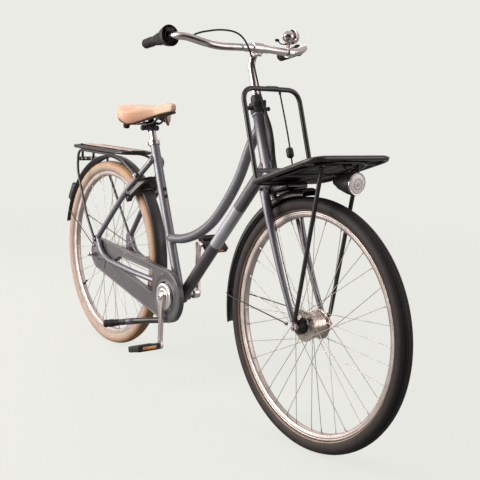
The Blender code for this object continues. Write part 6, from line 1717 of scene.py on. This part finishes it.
lamp_wall = mm((15, -0.4), (33, -0.4), (33.8, -1.4), (33.8, -17), (33, -24), (30.6, -33), (26.2, -48),
               (23.8, -57), (22.6, -58), (21.6, -60), (16.2, -71), (13.2, -78), (9.6, -81.2),
               (4, -82), (0, -82))
lamp_house = turned("headlight_shell", slimmer(lamp_wall), LAMP, lamp_way, 56)
lamp_neck = block("lamp_neck", (TILT_POINT + LAMP + Vector((-0.036, 0, 0.02))) / 2, (0.012, 0.012, 0.026),
                  soft=0.003, segments=4)
lamp_parts = [lamp_house, across("lamp_lug", TILT_POINT, -0.006, 0.006, 0.0085, 28), lamp_neck]
for i in range(5):
    root, edge = 0.0285 - 0.0022 * i, 0.0322 - 0.0022 * i
    fin = slimmer([(root, -0.002), (edge, -0.001), (edge, 0.001), (root, 0.002)])
    lamp_parts.append(turned("lamp_fin", fin, LAMP - lamp_way * (0.026 + 0.007 * i), lamp_way, 48))
put(joined("headlight_shell_black", *lamp_parts), "plastic", "headlight", "headlight_housing")
bezel_wall = mm((28.8, 1.2), (30, 3), (31.8, 3.2), (33, 2.4), (33.6, 0.8), (33.4, -1.2), (32.4, -2), (31, -2))
bezel = turned("headlight_bezel", slimmer(bezel_wall), LAMP, lamp_way, 64)
put(bezel, "chrome", "headlight")
lens_wall = mm((0, 5.5), (5, 5.4), (8.5, 5.2), (10, 4.6), (11.2, 5), (15, 4.8), (20, 4.2), (24.5, 3.4),
               (28, 2.4), (30.2, 1.2), (30.6, 0.4), (0, 0.4))
lens = turned("headlight_lens_glass", slimmer(lens_wall), LAMP, lamp_way, 64)
put(lens, "lens", "headlight", "headlight_lens")


# Cords: the carrier's binder and the shift cable

cord_top = steer(hoop_x, 0.032, HOOP_TOP - 0.013 - 0.0005)
cord_foot = steer(CARRIER_BACK + 0.002, 0.024, PLANE + 0.0083)
cord_line = smooth([cord_top, (cord_top + cord_foot) / 2 + Vector((0.004, 0, 0)), cord_foot], 12)
binder = tube("binder_cord_black", cord_line, 0.0023, 12)
slider_spot = cord_top * 0.3 + cord_foot * 0.7
slider = turned("binder_slider", mm((0, -15.525), (5, -15.525), (7.75, -13.8), (10.25, -10.925),
                                    (10.75, -6.9), (10.75, 6.9), (10, 11.04), (7, 14.26), (4.5, 15.525),
                                    (0, 15.525)), slider_spot, cord_foot - cord_top, 32)
put(slider, "plastic", "steering")
ends = joined(
    "binder_ends",
    turned("binder_loop_top", mm((0, 6), (3.4, 5.6), (4, 3), (3.4, -1), (0, -1.4)),
           cord_top - (cord_top - cord_foot).normalized() * 0.006, cord_top - cord_foot, 24),
    turned("binder_loop_foot", mm((0, 1), (4, 1.4), (4.6, 5), (3.6, 8.5), (0, 9)),
           cord_foot, cord_top - cord_foot, 24),
)
put(ends, "plastic", "steering")
put(binder, "rubber", "steering", "binder_cord")


cable_line = smooth([
    house_base + shift_way * 0.012 + Vector((0, 0.018, 0.006)), Vector((0.232, -0.214, 1.137)),
    Vector((0.25, -0.2, 1.1385)), Vector((0.2625, -0.1905, 1.144)), steer(0.035, -0.175, 0.416),
    steer(0.043, -0.128, 0.422), steer(0.047, -0.082, 0.419), steer(0.056, -0.06, 0.399),
    steer(0.059, -0.046, 0.363), steer(0.053, -0.034, 0.318), steer(0.044, -0.022, 0.268),
    steer(0.038, -0.012, 0.222), steer(0.04, -0.004, 0.162), steer(0.038, 0, 0.103), steer(0.027, 0, 0.052),
    steer(0.027, 0, 0.036)], 7)
cable = tube("shift_cable_black", cable_line, 0.0026, 14)
put(cable, "rubber", "steering", "shift_cable")
ferrules = joined(
    "shift_cable_ferrules",
    turned("ferrule_top", mm((0, -2), (4.2, -2), (4.2, 8), (3.6, 12), (0, 12)), cable_line[0],
           cable_line[1] - cable_line[0], 24),
    turned("ferrule_low", mm((0, -14), (3.4, -14), (4.2, -10), (4.2, 2), (0, 2)), cable_line[-1],
           cable_line[-1] - cable_line[-2], 24),
)
put(ferrules, "plastic", "steering")
stop = joined(
    "cable_stop",
    block("cable_stop_box", steer(0.0275, 0, 0.026), (0.0115, 0.02, 0.036), STEER_TURN, 0.0022, 4),
    block("cable_stop_lip", steer(0.0275, 0, 0.0415), (0.0105, 0.017, 0.006), STEER_TURN, 0.0016, 3),
)
put(stop, "plastic", "steering")
# The lighting cable and the shift cable run side by side down the front of the head tube
second_line = smooth([steer(0.0262, 0.003, RING + 0.01), steer(0.029, 0.0035, 0.178),
                      steer(0.0335, 0.005, 0.138), steer(0.033, 0.005, 0.095), steer(0.0285, 0.005, 0.06),
                      steer(0.0275, 0.005, 0.044)], 8)
second_widths = [0.62 + 0.38 * eased(i / (len(second_line) - 1), 0.08, 0.4) for i in range(len(second_line))]
put(tube("lighting_cable_sleeve", second_line, 0.0064, 16, second_widths), "rubber", "steering")
lamp_wire = smooth([LAMP + Vector((-0.074, 0.004, 0.006)), LAMP + Vector((-0.092, 0.012, 0.018)),
                    steer(0.235, 0.02, -0.048), steer(0.17, 0.016, -0.042), steer(0.11, 0.01, -0.04),
                    steer(0.06, 0.008, -0.044)], 6)
put(tube("lamp_wire", lamp_wire, 0.0013, 8), "rubber", "steering")


# Studio: pale floor, camera and soft light

BACKDROP = (0.823, 0.831, 0.783)
bpy.ops.object.select_all(action="DESELECT")
bpy.ops.mesh.primitive_circle_add(vertices=96, radius=9.0, fill_type="NGON", location=(0, 0, -0.0004))
floor = bpy.context.object
floor.name = "studio_floor"
material, tree, shader = blank("studio floor", 0.9)
place = own_place(tree)
far = node(tree, "VectorMath", {0: place}, operation="LENGTH").outputs["Value"]
edge = node(tree, "MapRange", {"Value": far, "From Min": 2.2, "From Max": 5.0},
            interpolation_type="SMOOTHSTEP").outputs["Result"]
tone = ramp(tree, spots(tree, 3.0, 4.0), [(0.3, (0.098, 0.099, 0.094)), (0.7, (0.1, 0.101, 0.096))])
tree.links.new(tone, shader.inputs["Base Color"])
shader.inputs["Specular IOR Level"].default_value = 0.0
shader.inputs["Emission Color"].default_value = (*BACKDROP, 1.0)
rays = node(tree, "LightPath")
shine = sums(tree, "MULTIPLY", rays.outputs["Is Glossy Ray"], 0.27)
glow = sums(tree, "MULTIPLY_ADD", rays.outputs["Is Camera Ray"], 0.855, shine)
tree.links.new(glow, shader.inputs["Emission Strength"])
clear = node(tree, "BsdfTransparent")
out = tree.nodes["Material Output"]
mix = node(tree, "MixShader", {"Fac": edge, 1: shader.outputs["BSDF"], 2: clear.outputs["BSDF"]})
tree.links.new(mix.outputs["Shader"], out.inputs["Surface"])
floor.data.materials.append(material)

world = bpy.data.worlds.new("studio")
bpy.context.scene.world = world
world.use_nodes = True
tree = world.node_tree
tree.nodes.clear()
rays = node(tree, "LightPath")
seen = sums(tree, "MAXIMUM", rays.outputs["Is Camera Ray"], rays.outputs["Is Transmission Ray"])
look = node(tree, "TexCoord").outputs["Generated"]
up = node(tree, "SeparateXYZ", {"Vector": look}).outputs["Z"]
bands = ramp(tree, node(tree, "MapRange", {"Value": up, "From Min": -1.0, "From Max": 1.0}).outputs["Result"],
             [(0.0, 0.34), (0.42, 0.34), (0.49, 0.54), (0.58, 0.66), (0.78, 0.74), (1.0, 0.8)])
# A dark studio behind the camera, which shows in the middle of everything round
toward = node(tree, "VectorMath", {0: look, 1: (0.826, -0.557, -0.08)},
              operation="DOT_PRODUCT").outputs["Value"]
dark = ramp(tree, toward, [(0.42, 1.0), (0.74, 0.06)])
bands = mixed(tree, 1.0, bands, dark, "MULTIPLY")
dome = ramp(tree, node(tree, "MapRange", {"Value": up, "From Min": -1.0, "From Max": 1.0}).outputs["Result"],
            [(0.0, (0.2, 0.19, 0.185)), (0.5, (0.2, 0.19, 0.185)), (1.0, (0.95, 0.92, 0.9))])
soft_light = node(tree, "Background", {"Color": dome, "Strength": 0.9})
glossy = mixed(tree, 1.0, bands, (0.95, 0.88, 0.86, 1.0), "MULTIPLY")
shine = node(tree, "Background", {"Color": glossy, "Strength": 1.0})
backdrop = node(tree, "Background", {"Color": (*BACKDROP, 1.0), "Strength": 1.0})
first = node(tree, "MixShader", {"Fac": rays.outputs["Is Glossy Ray"], 1: soft_light.outputs["Background"],
                                 2: shine.outputs["Background"]})
both = node(tree, "MixShader", {"Fac": seen, 1: first.outputs["Shader"], 2: backdrop.outputs["Background"]})
tree.links.new(both.outputs["Shader"], node(tree, "OutputWorld").inputs["Surface"])


def softbox(name, place, target, size, power, colour=(1.0, 0.96, 0.93)):
    bpy.ops.object.light_add(type="AREA", location=place)
    lamp = bpy.context.object
    lamp.name = name
    lamp.data.shape = "RECTANGLE"
    lamp.data.size, lamp.data.size_y = size
    lamp.data.energy = power
    lamp.data.color = colour
    lamp.rotation_euler = (Vector(target) - Vector(place)).to_track_quat("-Z", "Y").to_euler()


softbox("key_left", (-1.3, -3.1, 1.9), (0, 0, 0.5), (2.6, 3.2), 200.0)
softbox("low_left", (-2.0, -1.55, 0.55), (-0.1, 0, 0.3), (1.6, 1.0), 10.0)
softbox("front_right", (3.0, 1.9, 1.6), (0.2, 0, 0.6), (2.2, 2.4), 34.0)
softbox("back", (-2.6, 2.0, 2.2), (0, 0, 0.5), (2.4, 2.4), 18.0, (1.0, 0.93, 0.88))

# The camera that the photo was taken with, as it was fitted to the wheels, tubes and bars
YAW, PITCH, ROLL = (math.radians(value) for value in (143.033, -9.614, 2.593))
EYE = Vector((2.2044, -1.4785, 0.9566)) + SHIFT
FOCAL_PIXELS, PHOTO_PIXELS, SENSOR_WIDTH = 808.99, 480.0, 36.0
ahead = Vector((math.cos(PITCH) * math.cos(YAW), math.cos(PITCH) * math.sin(YAW), math.sin(PITCH)))
level = ahead.cross(Vector((0, 0, 1))).normalized()
upward = level.cross(ahead)
aside = level * math.cos(ROLL) + upward * math.sin(ROLL)
upright = upward * math.cos(ROLL) - level * math.sin(ROLL)
bpy.ops.object.camera_add(location=(0, 0, 0))
camera = bpy.context.object
camera.name = "photo_camera"
camera.matrix_world = Matrix((
    (aside.x, upright.x, -ahead.x, EYE.x), (aside.y, upright.y, -ahead.y, EYE.y),
    (aside.z, upright.z, -ahead.z, EYE.z), (0, 0, 0, 1)))
camera.data.sensor_width = SENSOR_WIDTH
camera.data.lens = FOCAL_PIXELS * SENSOR_WIDTH / PHOTO_PIXELS
bpy.context.scene.camera = camera
bpy.context.scene.view_settings.view_transform = "Standard"
